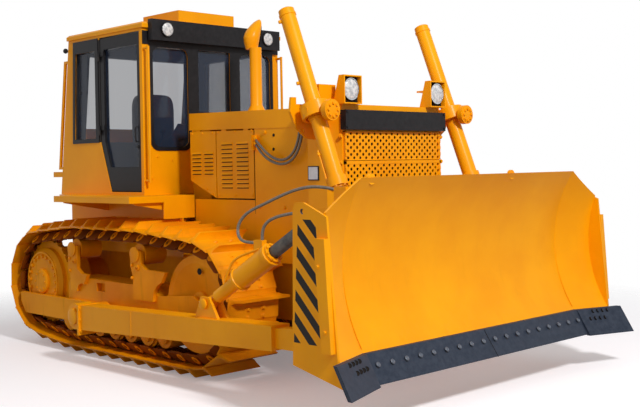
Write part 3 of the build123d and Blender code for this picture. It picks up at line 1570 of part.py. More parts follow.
# ---------------------------------------------------------------- handrails
rail_r = 12
front_rail_x = cab_front_x + 72
front_rail_y = cab_half - 18
front_rail_z = (1560, 2770)
rear_rail_z = (1690, 2750)
rear_rail_out = 62        # behind the cab's rear face
rear_rail_y = cab_half - 14
lamp_arm_z = (1615, 1667)
lamp_arm_rear_x = -2190
with BuildPart() as handrails:
    with Locations((front_rail_x, -front_rail_y, front_rail_z[0])):
        Cylinder(rail_r, front_rail_z[1] - front_rail_z[0], align=(Align.CENTER, Align.CENTER, Align.MIN))
    for z in (front_rail_z[0] + 16, front_rail_z[1] - 16):
        with Locations(Location((cab_front_x + seat_gap, -front_rail_y, z), (0, 90, 0))):
            Cylinder(rail_r, front_rail_x - cab_front_x, align=(Align.CENTER, Align.CENTER, Align.MIN))
    # rear rail, parallel to the sloping rear face
    for low, high, start, end in (
        (rear_rail_z[0], rear_rail_z[1], rear_rail_out - rail_r, rear_rail_out + rail_r),
        (rear_rail_z[0], rear_rail_z[0] + 2 * rail_r, seat_gap, rear_rail_out),
        (rear_rail_z[1] - 2 * rail_r, rear_rail_z[1], seat_gap, rear_rail_out),
    ):
        with BuildSketch(side(-rear_rail_y + rail_r)):
            Polygon(
                (cab_rear_x(low) - start, low),
                (cab_rear_x(low) - end, low),
                (cab_rear_x(high) - end, high),
                (cab_rear_x(high) - start, high),
                align=None,
            )
        extrude(amount=2 * rail_r)
    # rear lamp's arm
    with BuildSketch(side(-rear_rail_y + 2 * rail_r)):
        Polygon(
            (lamp_arm_rear_x, lamp_arm_z[0]),
            (lamp_arm_rear_x, lamp_arm_z[1]),
            (cab_rear_x(lamp_arm_z[1]) - seat_gap, lamp_arm_z[1]),
            (cab_rear_x(lamp_arm_z[0]) - seat_gap, lamp_arm_z[0]),
            align=None,
        )
    extrude(amount=3 * rail_r)
save_both(handrails.part, "handrails")

# ---------------------------------------------------------------- hoses
def hose(points):
    """A round hose through points: each arc is as large as its two runs allow."""
    radii = []
    for before, here, after in zip(points, points[1:], points[2:]):
        run_in = Vector(*here) - Vector(*before)
        run_out = Vector(*after) - Vector(*here)
        turn = radians(run_in.get_angle(run_out))
        radii.append(0.45 * min(run_in.length, run_out.length) / tan(turn / 2))
    print("hose bend radii", [round(r) for r in radii])
    with BuildPart() as piece:
        with BuildLine() as way:
            FilletPolyline(*points, radius=radii)
        with BuildSketch(Plane(origin=way.line @ 0, z_dir=way.line % 0)):
            Circle(hose_r)
        sweep()
    return piece.part


def port(end, inside):
    """A fitting on a hose's end, along the hose's last run from the point beside it."""
    back = (Vector(*end) - Vector(*inside)).normalized()
    with BuildPart() as piece:
        with BuildSketch(Plane(origin=Vector(*end) + back * seat_gap, z_dir=back)):
            Circle(port_r)
        extrude(amount=port_length)
    return piece.part


save(hose(side_hose_points), "side_hose")
save(hose(side_hose_low_points), "side_hose_low")
save(hose(tilt_hose_points), "tilt_hose")
save(hose(tilt_hose_low_points), "tilt_hose_low")

# fittings of the side hoses: blocks on the engine side and on the hood's lip
port_blocks = [
    ((540, 577), (1820, 1945), side_face_y),
    ((1128, 1222), (2098, 2130), hood_half),
]
with BuildPart() as hose_ports:
    for (rear_x, front_x), (low_z, high_z), face_y in port_blocks:
        with Locations((rear_x, -face_y - seat_gap, low_z)):
            Box(front_x - rear_x, 62, high_z - low_z, align=(Align.MIN, Align.MAX, Align.MIN))
    for points in (side_hose_points, side_hose_low_points):
        add(port(points[0], points[1]))
        add(port(points[-1], points[-2]))
save(hose_ports.part, "hose_ports")
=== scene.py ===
"""Crawler bulldozer: finishes, track links, louvres, grille, lamps, hoses and fastenings."""
import json
import math

import bmesh
import bpy
import numpy as np
from mathutils import Matrix, Vector

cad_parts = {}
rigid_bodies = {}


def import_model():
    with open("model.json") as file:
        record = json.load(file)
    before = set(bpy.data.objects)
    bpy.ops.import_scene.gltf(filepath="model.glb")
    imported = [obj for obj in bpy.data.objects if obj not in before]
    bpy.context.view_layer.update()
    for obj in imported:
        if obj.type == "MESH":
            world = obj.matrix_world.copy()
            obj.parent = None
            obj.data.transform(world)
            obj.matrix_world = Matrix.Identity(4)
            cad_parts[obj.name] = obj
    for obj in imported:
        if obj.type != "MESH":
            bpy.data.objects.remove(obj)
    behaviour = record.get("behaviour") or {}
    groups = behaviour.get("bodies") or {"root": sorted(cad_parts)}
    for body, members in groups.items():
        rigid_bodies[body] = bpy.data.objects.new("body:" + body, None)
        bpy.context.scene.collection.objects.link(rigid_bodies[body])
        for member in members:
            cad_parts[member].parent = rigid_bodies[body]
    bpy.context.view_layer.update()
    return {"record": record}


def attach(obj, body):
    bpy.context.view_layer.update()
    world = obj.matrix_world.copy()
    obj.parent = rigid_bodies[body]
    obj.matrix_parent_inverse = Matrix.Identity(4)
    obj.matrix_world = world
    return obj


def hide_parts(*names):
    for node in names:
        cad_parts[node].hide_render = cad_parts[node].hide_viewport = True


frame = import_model()


def placed(name, data):
    """A new object in the scene."""
    made = bpy.data.objects.new(name, data)
    bpy.context.collection.objects.link(made)
    return made


# ---------------- camera
CAMERA_PLACE = (6.9057, -5.9420, 1.6802)
CAMERA_YAW, CAMERA_PITCH, CAMERA_ROLL = (math.radians(a) for a in (135.753, -0.352, -1.045))


def look_matrix(place, yaw, pitch, roll):
    """Camera matrix from a place and a yaw about Z, a pitch up and a roll about the view line."""
    ahead = np.array([math.cos(pitch) * math.cos(yaw), math.cos(pitch) * math.sin(yaw), math.sin(pitch)])
    right = np.cross(ahead, [0, 0, 1])
    right /= np.linalg.norm(right)
    up = np.cross(right, ahead)
    right, up = (math.cos(roll) * right + math.sin(roll) * up,
                 math.cos(roll) * up - math.sin(roll) * right)
    m = np.eye(4)
    m[:3, 0], m[:3, 1], m[:3, 2], m[:3, 3] = right, up, -ahead, place
    return Matrix(m.tolist())


camera_data = bpy.data.cameras.new("camera")
camera_data.lens = 56.69
camera_data.sensor_width = 36.0
camera_data.shift_y = -0.0491
camera = placed("camera", camera_data)
camera.matrix_world = look_matrix(CAMERA_PLACE, CAMERA_YAW, CAMERA_PITCH, CAMERA_ROLL)
bpy.context.scene.camera = camera


# ---------------- shader maths
def linear(r, g, b):
    """Turns a colour written in 0-255 display values into the shader's linear ones."""
    def one(c):
        c /= 255
        return c / 12.92 if c <= 0.04045 else ((c + 0.055) / 1.055) ** 2.4
    return (one(r), one(g), one(b), 1.0)


def maths(operation, reflected=False):
    """A method of Value that adds one Math node; reflected puts the value last, as in 1 - mask."""
    def method(self, *others):
        operands = (*others, self) if reflected else (self, *others)
        return self.owner.node("ShaderNodeMath", {"operation": operation}, dict(enumerate(operands)))
    return method


class Value:
    """A socket that adds its Math nodes when it is used in an expression."""

    def __init__(self, owner, socket):
        self.owner, self.socket = owner, socket

    __add__ = maths("ADD")
    __radd__ = maths("ADD", reflected=True)
    __sub__ = maths("SUBTRACT")
    __rsub__ = maths("SUBTRACT", reflected=True)
    __mul__ = maths("MULTIPLY")
    __rmul__ = maths("MULTIPLY", reflected=True)
    __gt__ = maths("GREATER_THAN")
    __lt__ = maths("LESS_THAN")
    remainder = maths("FLOORED_MODULO")
    size = maths("ABSOLUTE")
    wave = maths("SINE")

    def fade(self, low, high):
        """0 below low, 1 above high, straight between."""
        return self.owner.node("ShaderNodeMapRange", {"clamp": True},
                               {"Value": self, "From Min": low, "From Max": high})


class Nodes:
    """A node tree that grows as its values are used."""

    def __init__(self, tree):
        self.tree = tree

    def node(self, kind, settings, inputs, output=0):
        """Adds a node, sets its settings, then values or links its inputs; gives one output."""
        made = self.tree.nodes.new(kind)
        for key, value in settings.items():
            setattr(made, key, value)
        for key, value in inputs.items():
            if isinstance(value, Value):
                self.tree.links.new(value.socket, made.inputs[key])
            else:
                made.inputs[key].default_value = value
        return Value(self, made.outputs[output])

    def seen(self):
        """1 for what the camera sees, also in a mirror or through glass, and 0 for other rays."""
        camera_ray, mirrored, through = (
            self.node("ShaderNodeLightPath", {}, {}, f"Is {kind} Ray")
            for kind in ("Camera", "Glossy", "Transmission"))
        return (camera_ray + mirrored + through).fade(0.0, 1.0)


# Shader sockets whose names aren't their keys with capitals
SOCKETS = {"specular_ior_level": "Specular IOR Level"}


class Finish(Nodes):
    """A material built from node expressions on the object's own coordinates."""

    def __init__(self, name, **constants):
        self.material = bpy.data.materials.new(name)
        self.material.use_nodes = True
        super().__init__(self.material.node_tree)
        self.shader = self.tree.nodes["Principled BSDF"]
        for key, value in constants.items():
            self.shader.inputs[SOCKETS.get(key, key.replace("_", " ").title())].default_value = value
        self.place = self.node("ShaderNodeTexCoord", {}, {}, "Object")
        self.x, self.y, self.z = (
            self.node("ShaderNodeSeparateXYZ", {}, {0: self.place}, axis) for axis in range(3))

    def noise(self, scale, detail=3.0, rough=0.55, place=None):
        """Noise on the object's own coordinates, or on those in place."""
        return self.node("ShaderNodeTexNoise", {}, {
            "Vector": place or self.place, "Scale": scale, "Detail": detail, "Roughness": rough})

    def stretched(self, x, y, z):
        """The object's own coordinates, scaled along each axis."""
        return self.node("ShaderNodeMapping", {}, {"Vector": self.place, "Scale": (x, y, z)})

    def mix(self, share, low, high):
        """Colour from low to high as share goes from 0 to 1."""
        return self.node("ShaderNodeMix", {"data_type": "RGBA"},
                         {"Factor": share, "A": low, "B": high}, 2)

    def painted(self):
        """The base colour as it is so far."""
        return Value(self, self.shader.inputs["Base Color"].links[0].from_socket)

    def set(self, **links):
        """Links values to the shader's inputs."""
        for key, value in links.items():
            self.tree.links.new(value.socket, self.shader.inputs[key.replace("_", " ").title()])
        return self

    def bump(self, height, distance, strength=1.0):
        """Bends the shading normal by a height of 0-1, distance metres deep."""
        made = self.node("ShaderNodeBump", {}, {
            "Height": height, "Distance": distance, "Strength": strength})
        self.tree.links.new(made.socket, self.shader.inputs["Normal"])
        return self


YELLOW = linear(252, 168, 0)
YELLOW_DEEP = linear(244, 156, 0)
DUST = linear(176, 150, 112)
GREASE = linear(74, 47, 14)


def paint(name, base, deep, dust_share, grime_share, rough=0.42, coat=0.06):
    """Enamel: slow colour drift, orange-peel bump, dust on the lower parts and thin grime."""
    f = Finish(name, roughness=rough, coat_weight=coat, coat_roughness=0.18, specular_ior_level=0.12)
    drift = f.noise(1.7, 4.0)
    fine = f.noise(38.0, 4.0, 0.6)
    streak = f.noise(9.0, 3.0, 0.6, f.stretched(1.0, 1.0, 0.18))
    low = 1.0 - f.z.fade(0.1, 1.3)
    colour = f.mix(drift.fade(0.35, 0.65), base, deep)
    dust = (low * 0.8 + 0.2) * fine.fade(0.42, 0.75) * dust_share
    colour = f.mix(dust, colour, DUST)
    grime = streak.fade(0.58, 0.78) * (low * 0.7 + 0.3) * grime_share
    colour = f.mix(grime, colour, GREASE)
    return f.set(base_color=colour, roughness=(dust + grime) * 0.6 + drift * 0.08 + (rough - 0.04)
                 ).bump(f.noise(260.0, 2.0) * 0.4 + fine * 0.6, 0.0006, 0.35)


yellow = paint("yellow_enamel", YELLOW, YELLOW_DEEP, 0.05, 0.10)
frame_yellow = paint("frame_enamel", linear(248, 160, 0), linear(226, 134, 0), 0.01, 0.40, 0.5, 0.0)
chain_finish = paint("chain_enamel", linear(150, 76, 6), linear(96, 46, 6), 0.01, 0.8, 0.55, 0.0)

# Warning stripes: first place, pitch and black part along x + z; lowest and highest z; the |y|
# beyond which they are painted
STRIPE_START, STRIPE_PITCH, STRIPE_BLACK = 2.732, 0.1490, 0.074
STRIPE_LOW, STRIPE_HIGH = 0.560, 1.345
PLATE_OUTER = 1.5985


def striped_finish():
    """Yellow enamel with black bands at 45 degrees: black where x + z, counted in steps of one
    pitch, is in its first part, inside a field with slanting sides on the plate's outer face."""
    f = paint("striped_enamel", YELLOW, YELLOW_DEEP, 0.05, 0.10)
    across = ((f.x + f.z - STRIPE_START).remainder(STRIPE_PITCH) < STRIPE_BLACK)
    rear_edge, front_edge = f.z * 0.071 + 2.1422, 2.5150 - f.z * 0.087
    field = (f.x > rear_edge) * (f.x < front_edge) * (f.z > STRIPE_LOW) * (f.z < STRIPE_HIGH)
    outer = f.y.size() > PLATE_OUTER
    return f.set(base_color=f.mix(across * field * outer, f.painted(), linear(24, 18, 14)))


# Lining of the cab, dark partly as painted shade inside the cab: half width, x of its front, z of its
# floor;
# the dark pillar behind each door: from x to x and from z to z
LINING_HALF, LINING_FRONT, LINING_FLOOR = 0.806, -0.609, 1.452
PILLAR_X, PILLAR_Z = (-1.345, -1.285), (1.94, 2.90)


def lined_and_shaded_finish():
    """Yellow enamel outside and a dark lining inside, its darkness partly painted shade inside the cab:
    dark where the point is inside the cab's outer faces by a few millimetres, with the rear face sloping,
    and on the pillar behind each door."""
    f = paint("cab_enamel", YELLOW, YELLOW_DEEP, 0.04, 0.06)
    rear = f.z * 0.1272 - 2.2200
    inside = (f.y.size() < LINING_HALF) * (f.x < LINING_FRONT) * (f.x > rear) * (f.z > LINING_FLOOR)
    pillar = (f.x > PILLAR_X[0]) * (f.x < PILLAR_X[1]) * (f.z > PILLAR_Z[0]) * (f.z < PILLAR_Z[1])
    dark = (inside + pillar).fade(0.0, 1.0)
    return f.set(base_color=f.mix(dark, f.painted(), linear(46, 43, 42)))


end_plate_finish = striped_finish()
cab_finish = lined_and_shaded_finish()


def plain_metal(name, colour, other, rough, metallic, scale=24.0, bump=0.0006, shine=0.5):
    """Two close colours in clouds, whose noise also drives the roughness and a shallow bump."""
    f = Finish(name, metallic=metallic, specular_ior_level=shine)
    colour, other = linear(*colour), linear(*other)
    cloud = f.noise(scale, 5.0, 0.62)
    fine = f.noise(scale * 9, 3.0)
    return f.set(base_color=f.mix(cloud.fade(0.35, 0.68), colour, other),
                 roughness=cloud * 0.25 + fine * 0.1 + (rough - 0.17)
                 ).bump(cloud * 0.5 + fine * 0.5, bump, 0.6)


black = plain_metal("black_enamel", (26, 25, 27), (36, 35, 37), 0.42, 0.0, shine=0.15)
edge_steel = plain_metal("edge_steel", (38, 46, 60), (54, 61, 74), 0.5, 0.0, shine=0.15)
dark_steel = plain_metal("dark_steel", (60, 58, 56), (92, 86, 78), 0.5, 0.6)
chrome = plain_metal("hard_chrome", (205, 208, 212), (190, 193, 198), 0.16, 1.0, 3.0, 0.0001)
plastic = plain_metal("black_plastic", (28, 28, 30), (38, 38, 40), 0.55, 0.0, shine=0.15)
vinyl = plain_metal("seat_vinyl", (34, 32, 32), (46, 43, 42), 0.5, 0.0, 60.0)
hose_rubber = plain_metal("hose_rubber", (88, 82, 72), (124, 118, 106), 0.45, 0.0, 90.0)


def tinted_glass():
    """Thin tinted pane, seen through by its alpha, with slight smears in its roughness."""
    f = Finish("cab_pane", base_color=linear(50, 62, 84), alpha=0.42)
    return f.set(roughness=f.noise(6.0, 2.0) * 0.06 + 0.02)


cab_pane = tinted_glass()
# radiator core, dark brown partly as painted shade behind the grille
core_and_shade_finish = plain_metal("radiator_core_in_shade", (66, 34, 12), (40, 20, 8), 0.6, 0.1)
edge_bright = plain_metal("bolt_steel", (70, 77, 90), (92, 98, 108), 0.45, 0.2)
# dark finish for seals, seams, plugs, bolts and lamp housing backs; also painted shade in the louvre gaps,
# the idler holes and the exhaust outlet
seal_and_shade = plain_metal("seal_rubber_and_shade", (24, 20, 18), (36, 30, 26), 0.7, 0.0, shine=0.1)
bright = plain_metal("bright_rim", (214, 216, 218), (180, 182, 186), 0.18, 1.0, 3.0, 0.0001)
pale_plate = plain_metal("bare_plate", (214, 216, 220), (196, 198, 204), 0.4, 0.0)


def lens_cover():
    """Pressed lamp glass: pale grey flutes across it, wavy in y, with darker patches."""
    f = Finish("pressed_glass", roughness=0.10, coat_weight=0.5)
    flutes = (f.y * 360.0).wave()
    patches = f.noise(34.0, 3.0, 0.6)
    f.set(base_color=f.mix(patches.fade(0.42, 0.62), linear(226, 226, 224), linear(176, 178, 182)))
    return f.bump(flutes, 0.0012, 0.6)


lens_finish = lens_cover()

FINISH = {"yellow_paint": yellow, "frame_paint": frame_yellow, "black_paint": black, "chrome": chrome,
          "glass": cab_pane, "black_plastic": plastic, "worn_steel": edge_steel, "dark_steel": dark_steel,
          "rubber": hose_rubber, "seat_fabric": vinyl}
NODE_FINISH = {"end_plates": end_plate_finish, "cab_body": cab_finish, "hose_ports": yellow}
for entry in frame["record"]["subparts"]:
    node = bpy.data.objects[entry["node"]]
    node.data.materials.clear()
    finish = NODE_FINISH.get(entry["node"], FINISH[entry["material_slot"]])
    node.data.materials.append(finish.material)


# ---------------- shapes
RIGHT, FORE, UP = (0, -1, 0), (1, 0, 0), (0, 0, 1)


class Shape:
    """Points, and faces of several sizes: one array of corner numbers for each size."""

    def __init__(self, points, faces):
        self.points = np.asarray(points, float)
        self.faces = [np.asarray(f, int) for f in faces]
        if self.volume() < 0:
            self.faces = [f[:, ::-1] for f in self.faces]

    def volume(self):
        """Six times the volume: the signed tetrahedra between the first point and each face's fan."""
        sixfold = 0.0
        p = self.points - self.points[0]
        for f in self.faces:
            for k in range(1, f.shape[1] - 1):
                sixfold += np.einsum("ij,ij->", p[f[:, 0]], np.cross(p[f[:, k]], p[f[:, k + 1]]))
        return sixfold

    def __add__(self, other):
        shift = len(self.points)
        return Shape(np.vstack([self.points, other.points]), self.faces + [f + shift for f in other.faces])

    def at(self, frames):
        """One copy for each 4 x 4 frame: point' = axes x point + origin, for all frames at once."""
        frames = np.asarray(frames, float).reshape(-1, 4, 4)
        n = len(self.points)
        points = np.einsum("fij,pj->fpi", frames[:, :3, :3], self.points) + frames[:, None, :3, 3]
        shift = (np.arange(len(frames)) * n)[:, None, None]
        return Shape(points.reshape(-1, 3), [(f[None] + shift).reshape(-1, f.shape[1]) for f in self.faces])

    def on(self, places, z_axis=UP, x_axis=FORE):
        """One copy at the place, or at each of the places, with the same axes."""
        return self.at([spot(p, z_axis, x_axis) for p in np.atleast_2d(places)])

    def mirrored(self):
        """The mirror image across the machine's middle plane, y' = -y."""
        return Shape(self.points * (1, -1, 1), [f[:, ::-1] for f in self.faces])

    def both(self):
        """The shape and its mirror image."""
        return self + self.mirrored()


def total(shapes):
    """All the shapes as one."""
    whole = shapes[0]
    for other in shapes[1:]:
        whole = whole + other
    return whole


def spot(origin, z_axis=UP, x_axis=FORE):
    """Frame at origin whose z runs along z_axis and whose x leans to x_axis."""
    z = np.asarray(z_axis, float) / np.linalg.norm(z_axis)
    x = np.asarray(x_axis, float) - np.dot(x_axis, z) * z
    if np.linalg.norm(x) < 1e-6:
        x = np.cross(z, (0.3, 0.9, 0.2))
    x /= np.linalg.norm(x)
    m = np.eye(4)
    m[:3, 0], m[:3, 1], m[:3, 2], m[:3, 3] = x, np.cross(z, x), z, origin
    return m


def grid_faces(rows, columns, wrap_rows=False):
    """Four-cornered faces of a grid of points counted row by row, closed along its columns."""
    r, c = np.meshgrid(np.arange(rows if wrap_rows else rows - 1), np.arange(columns), indexing="ij")
    r1, c1 = (r + 1) % rows, (c + 1) % columns
    corners = [r * columns + c, r * columns + c1, r1 * columns + c1, r1 * columns + c]
    return np.stack(corners, -1).reshape(-1, 4)


def closed_faces(rows, columns):
    """Faces of a stack of rings, with one face over each end."""
    base = np.arange(columns)[None]
    return [grid_faces(rows, columns), base[:, ::-1], base + (rows - 1) * columns]


def lathe(profile, sides=24, ring=False):
    """Profile (radius, height) turned about z: x = r cos a, y = r sin a; a ring's profile is closed."""
    profile = np.asarray(profile, float)
    a = np.linspace(0, 2 * np.pi, sides, endpoint=False)
    r, h = profile[:, 0][:, None], profile[:, 1][:, None]
    points = np.stack([r * np.cos(a), r * np.sin(a), h + 0 * a], -1).reshape(-1, 3)
    rows = len(profile)
    return Shape(points, [grid_faces(rows, sides, True)] if ring else closed_faces(rows, sides))


def inset(outline, amount):
    """Outline moved inwards: each corner goes along the sum of its two edge normals,
    by amount / (1 + cosine of the turn)."""
    before, after = outline - np.roll(outline, 1, 0), np.roll(outline, -1, 0) - outline
    normals = [np.stack([-e[:, 1], e[:, 0]], -1) / np.linalg.norm(e, axis=1)[:, None]
               for e in (before, after)]
    turn = (normals[0] * normals[1]).sum(1)[:, None]
    return outline + amount * (normals[0] + normals[1]) / (1 + turn)


def prism(outline, depth, bevel=0.0):
    """Outline (x, y) carried along z by depth, its rims cut back by bevel."""
    outline = np.asarray(outline, float)
    after = np.roll(outline, -1, 0)
    if (outline[:, 0] * after[:, 1] - after[:, 0] * outline[:, 1]).sum() < 0:
        outline = outline[::-1]
    if bevel:
        small = inset(outline, bevel)
        rows = [(small, 0), (outline, bevel), (outline, depth - bevel), (small, depth)]
    else:
        rows = [(outline, 0), (outline, depth)]
    points = np.concatenate([np.column_stack([o, np.full(len(o), h)]) for o, h in rows])
    return Shape(points, closed_faces(len(rows), len(outline)))


def block(low, high, bevel=0.002):
    """Box between two corners with bevelled edges."""
    low, high = np.asarray(low, float), np.asarray(high, float)
    x, y, z = high - low
    return prism([(0, 0), (x, 0), (x, y), (0, y)], z, bevel).on(low)


def tube(points, radius, sides=10):
    """Circle carried along points: frames turn with the path's own direction."""
    points = np.asarray(points, float)
    radius = np.broadcast_to(radius, len(points))
    way = np.gradient(points, axis=0)
    way /= np.linalg.norm(way, axis=1)[:, None]
    start = np.eye(3)[np.abs(way).mean(0).argmin()]
    u = start - (way @ start)[:, None] * way
    u /= np.linalg.norm(u, axis=1)[:, None]
    v = np.cross(way, u)
    a = np.linspace(0, 2 * np.pi, sides, endpoint=False)
    ring = np.cos(a)[:, None] * u[:, None] + np.sin(a)[:, None] * v[:, None]
    rows = (points[:, None] + radius[:, None, None] * ring).reshape(-1, 3)
    return Shape(rows, closed_faces(len(points), sides))


def curve(points, steps=8):
    """Smooth line through points: uniform cubic with each tangent half the way between its neighbours."""
    p = np.asarray(points, float)
    tangent = np.gradient(p, axis=0)
    t = np.linspace(0, 1, steps, endpoint=False)[:, None]
    h = [2 * t ** 3 - 3 * t ** 2 + 1, t ** 3 - 2 * t ** 2 + t, -2 * t ** 3 + 3 * t ** 2, t ** 3 - t ** 2]
    runs = [h[0] * a + h[1] * ta + h[2] * b + h[3] * tb
            for a, ta, b, tb in zip(p, tangent, p[1:], tangent[1:])]
    return np.vstack(runs + [p[-1:]])


def hex_head(width, high):
    """Six-sided bolt head with a chamfered top, standing on z = 0 with its washer."""
    r = width / 2 / math.cos(math.pi / 6)
    head = lathe([(r, 0.2 * high), (r, 0.82 * high), (0.86 * r, high)], 6)
    return head + lathe([(1.28 * r, -0.1 * high), (1.28 * r, 0.22 * high)], 12)


def plough_bolt(width):
    """Flat round head let into the plate, a little hollow in the middle."""
    return lathe([(width / 2, -0.002), (width / 2, 0.004), (0.4 * width, 0.006), (0.3 * width, 0.003)], 10)


def ring_of(count, radius, origin, z_axis, x_axis=FORE):
    """Frames on a circle about an axis, at (radius cos a, radius sin a), each turned by its a."""
    a = np.arange(count) * 2 * np.pi / count
    frames = np.tile(np.eye(4), (count, 1, 1))
    frames[:, 0, 0] = frames[:, 1, 1] = np.cos(a)
    frames[:, 0, 1], frames[:, 1, 0] = -np.sin(a), np.sin(a)
    frames[:, 0, 3], frames[:, 1, 3] = radius * np.cos(a), radius * np.sin(a)
    return spot(origin, z_axis, x_axis) @ frames


def new_mesh(name, points, faces):
    """Mesh of points and of faces in several arrays."""
    mesh = bpy.data.meshes.new(name)
    mesh.from_pydata(points.tolist(), [], [f for group in faces for f in group.tolist()])
    return mesh


def piece(name, shape, finish, slot, body="hull", sharp=32, stands_for=()):
    """Puts a shape into the scene as one mesh that rides on a CAD body."""
    mesh = new_mesh(name, shape.points, shape.faces)
    mesh.polygons.foreach_set("use_smooth", np.ones(len(mesh.polygons), bool))
    mesh.set_sharp_from_angle(angle=math.radians(sharp))
    mesh.materials.append(finish.material)
    made = placed(name, mesh)
    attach(made, body)
    if stands_for:
        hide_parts(*stands_for)
    return made


# A finish with a material slot's name
ENAMEL = (yellow, "yellow_paint")
FRAME = (frame_yellow, "frame_paint")
DARK = (seal_and_shade, "black_paint")

# ---------------- hoses
HOSE_DIAMETER = 0.022


def hose(name, body, points):
    """Round hose on one smooth spline; it replaces the CAD tube of the same route."""
    data = bpy.data.curves.new(name, "CURVE")
    data.dimensions = "3D"
    spline = data.splines.new("NURBS")
    spline.points.add(len(points) - 1)
    for point, place in zip(spline.points, points):
        point.co = (*place, 1.0)
    spline.order_u = 3
    spline.use_endpoint_u = True
    data.resolution_u = 12
    data.bevel_depth = HOSE_DIAMETER / 2
    data.bevel_resolution = 4
    data.use_fill_caps = True
    data.materials.append(hose_rubber.material)
    made = placed(name + "_line", data)
    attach(made, body)
    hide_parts(name)


hose("side_hose", "hull", [
    (0.600, -0.528, 1.900), (0.665, -0.536, 1.850), (0.740, -0.548, 1.800), (0.830, -0.558, 1.755),
    (0.930, -0.562, 1.728), (1.030, -0.562, 1.745), (1.105, -0.562, 1.805), (1.145, -0.560, 1.890),
    (1.160, -0.554, 1.985), (1.158, -0.545, 2.075)])
hose("side_hose_low", "hull", [
    (0.600, -0.528, 1.862), (0.655, -0.536, 1.812), (0.728, -0.548, 1.764), (0.824, -0.558, 1.722),
    (0.932, -0.562, 1.696), (1.044, -0.562, 1.712), (1.130, -0.562, 1.782), (1.176, -0.560, 1.880),
    (1.192, -0.554, 1.985), (1.190, -0.545, 2.075)])
hose("tilt_hose", "blade", [
    (1.4597, -1.286, 1.142), (1.390, -1.286, 1.142), (1.320, -1.290, 1.148), (1.255, -1.278, 1.182),
    (1.235, -1.264, 1.252), (1.275, -1.247, 1.322), (1.355, -1.230, 1.372), (1.460, -1.208, 1.412),
    (1.580, -1.182, 1.462), (1.710, -1.152, 1.510), (1.850, -1.120, 1.540), (1.990, -1.080, 1.530),
    (2.110, -1.050, 1.500), (2.1847, -1.050, 1.500)])
hose("tilt_hose_low", "blade", [
    (1.530, -1.286, 1.1653), (1.530, -1.286, 1.225), (1.565, -1.282, 1.285), (1.640, -1.268, 1.325),
    (1.745, -1.245, 1.350), (1.865, -1.215, 1.365), (1.985, -1.172, 1.362), (2.100, -1.130, 1.352),
    (2.1847, -1.130, 1.352)])

# ---------------- tracks
TRACK_Y = 0.940
SHOE_COUNT = 38
SHOE_WIDTH = 0.500
FIRST_LUG_X = 0.413
GROUND_RUN_Z = 0.1341          # pins lower than this are on the ground run
FIRST_TURN, TURNS = 2.5, 8001  # the path starts where its normal has this angle; normals tried
# Circles that the chain's pins go round: x, z, radius
PIN_CIRCLES = np.array([
    (-2.015, 0.610, 0.424), (-1.370, 0.954, 0.146), (-0.345, 0.954, 0.146),
    (0.435, 0.590, 0.452), (0.060, 0.293, 0.159), (-1.500, 0.293, 0.159)])


def pin_places():
    """Link pins along the closed path round the circles. The point whose outward normal is n lies on
    the circle with the largest centre . n + radius, so a full turn of n gives the arcs, and the
    jumps between circles are the straight runs. Pins stand at even lengths along it, from the lug
    at FIRST_LUG_X on the ground run."""
    a = np.linspace(FIRST_TURN, FIRST_TURN - 2 * np.pi, TURNS)
    n = np.stack([np.cos(a), np.sin(a)], -1)
    i = (n @ PIN_CIRCLES[:, :2].T + PIN_CIRCLES[:, 2]).argmax(1)
    path = PIN_CIRCLES[i, :2] + PIN_CIRCLES[i, 2][:, None] * n
    s = np.concatenate([[0], np.cumsum(np.linalg.norm(np.diff(path, axis=0), axis=1))])
    pitch = s[-1] / SHOE_COUNT
    ground = np.flatnonzero(path[:, 1] < GROUND_RUN_Z)
    run = slice(ground[0] - 1, ground[-1] + 2)
    at_lug = np.interp(-FIRST_LUG_X, -path[run, 0], s[run])
    where = (at_lug % pitch + pitch * np.arange(SHOE_COUNT)) % s[-1]
    return np.stack([np.interp(where, s, path[:, k]) for k in (0, 1)], -1)


PINS = pin_places()
NEXT_PINS = np.roll(PINS, -1, 0)
LINK = float(np.linalg.norm(NEXT_PINS - PINS, axis=1).mean())          # a link's length


def link_frames(y):
    """A frame at each pin: x to the next pin, y outwards from the loop, z to the right."""
    way = NEXT_PINS - PINS
    way /= np.linalg.norm(way, axis=1)[:, None]
    frames = np.tile(np.eye(4), (SHOE_COUNT, 1, 1))
    frames[:, 0, 0], frames[:, 2, 0] = way[:, 0], way[:, 1]
    frames[:, 0, 1], frames[:, 2, 1] = -way[:, 1], way[:, 0]
    frames[:, 1, 2], frames[:, 2, 2] = -1, 0
    frames[:, 0, 3], frames[:, 1, 3], frames[:, 2, 3] = PINS[:, 0], y, PINS[:, 1]
    return frames


# Sections in a link's frame: along the chain from its pin, and outwards
SHOE_SECTION = [
    (-0.024, 0.0585), (-0.025, 0.069), (-0.015, 0.090), (-0.011, 0.1335), (0.010, 0.1335),
    (0.014, 0.095), (0.026, 0.0745), (0.040, 0.069), (LINK - 0.040, 0.069), (LINK - 0.027, 0.060),
    (LINK + 0.020, 0.0562), (LINK + 0.022, 0.046), (LINK - 0.030, 0.050), (0.0, 0.0572)]
LINK_SECTION = [
    (0.030, 0.0565), (-0.004, 0.040), (-0.028, 0.030), (-0.040, 0.008), (-0.040, -0.014),
    (-0.026, -0.036), (-0.004, -0.044), (0.020, -0.048), (LINK - 0.078, -0.048),
    (LINK - 0.060, -0.040), (LINK - 0.050, -0.020), (LINK - 0.046, 0.004), (LINK - 0.050, 0.028),
    (LINK - 0.062, 0.042), (LINK - 0.070, 0.0565)]
LINK_WIDTH = 0.044
LINK_Y = 0.078


def chain(side_sign):
    """Links, pins and bushes of one track: each section carried across the track's width."""
    y = side_sign * TRACK_Y
    link = prism(LINK_SECTION, LINK_WIDTH, 0.003)
    pin = lathe([(0.017, -0.109), (0.021, -0.107), (0.021, 0.107), (0.017, 0.109)], 14)
    bush = lathe([(0.031, -0.062), (0.031, 0.062)], 14)
    rails = total([link.at(link_frames(y + off + LINK_WIDTH / 2)) for off in (-LINK_Y, LINK_Y)])
    return rails + (pin + bush).at(link_frames(y))


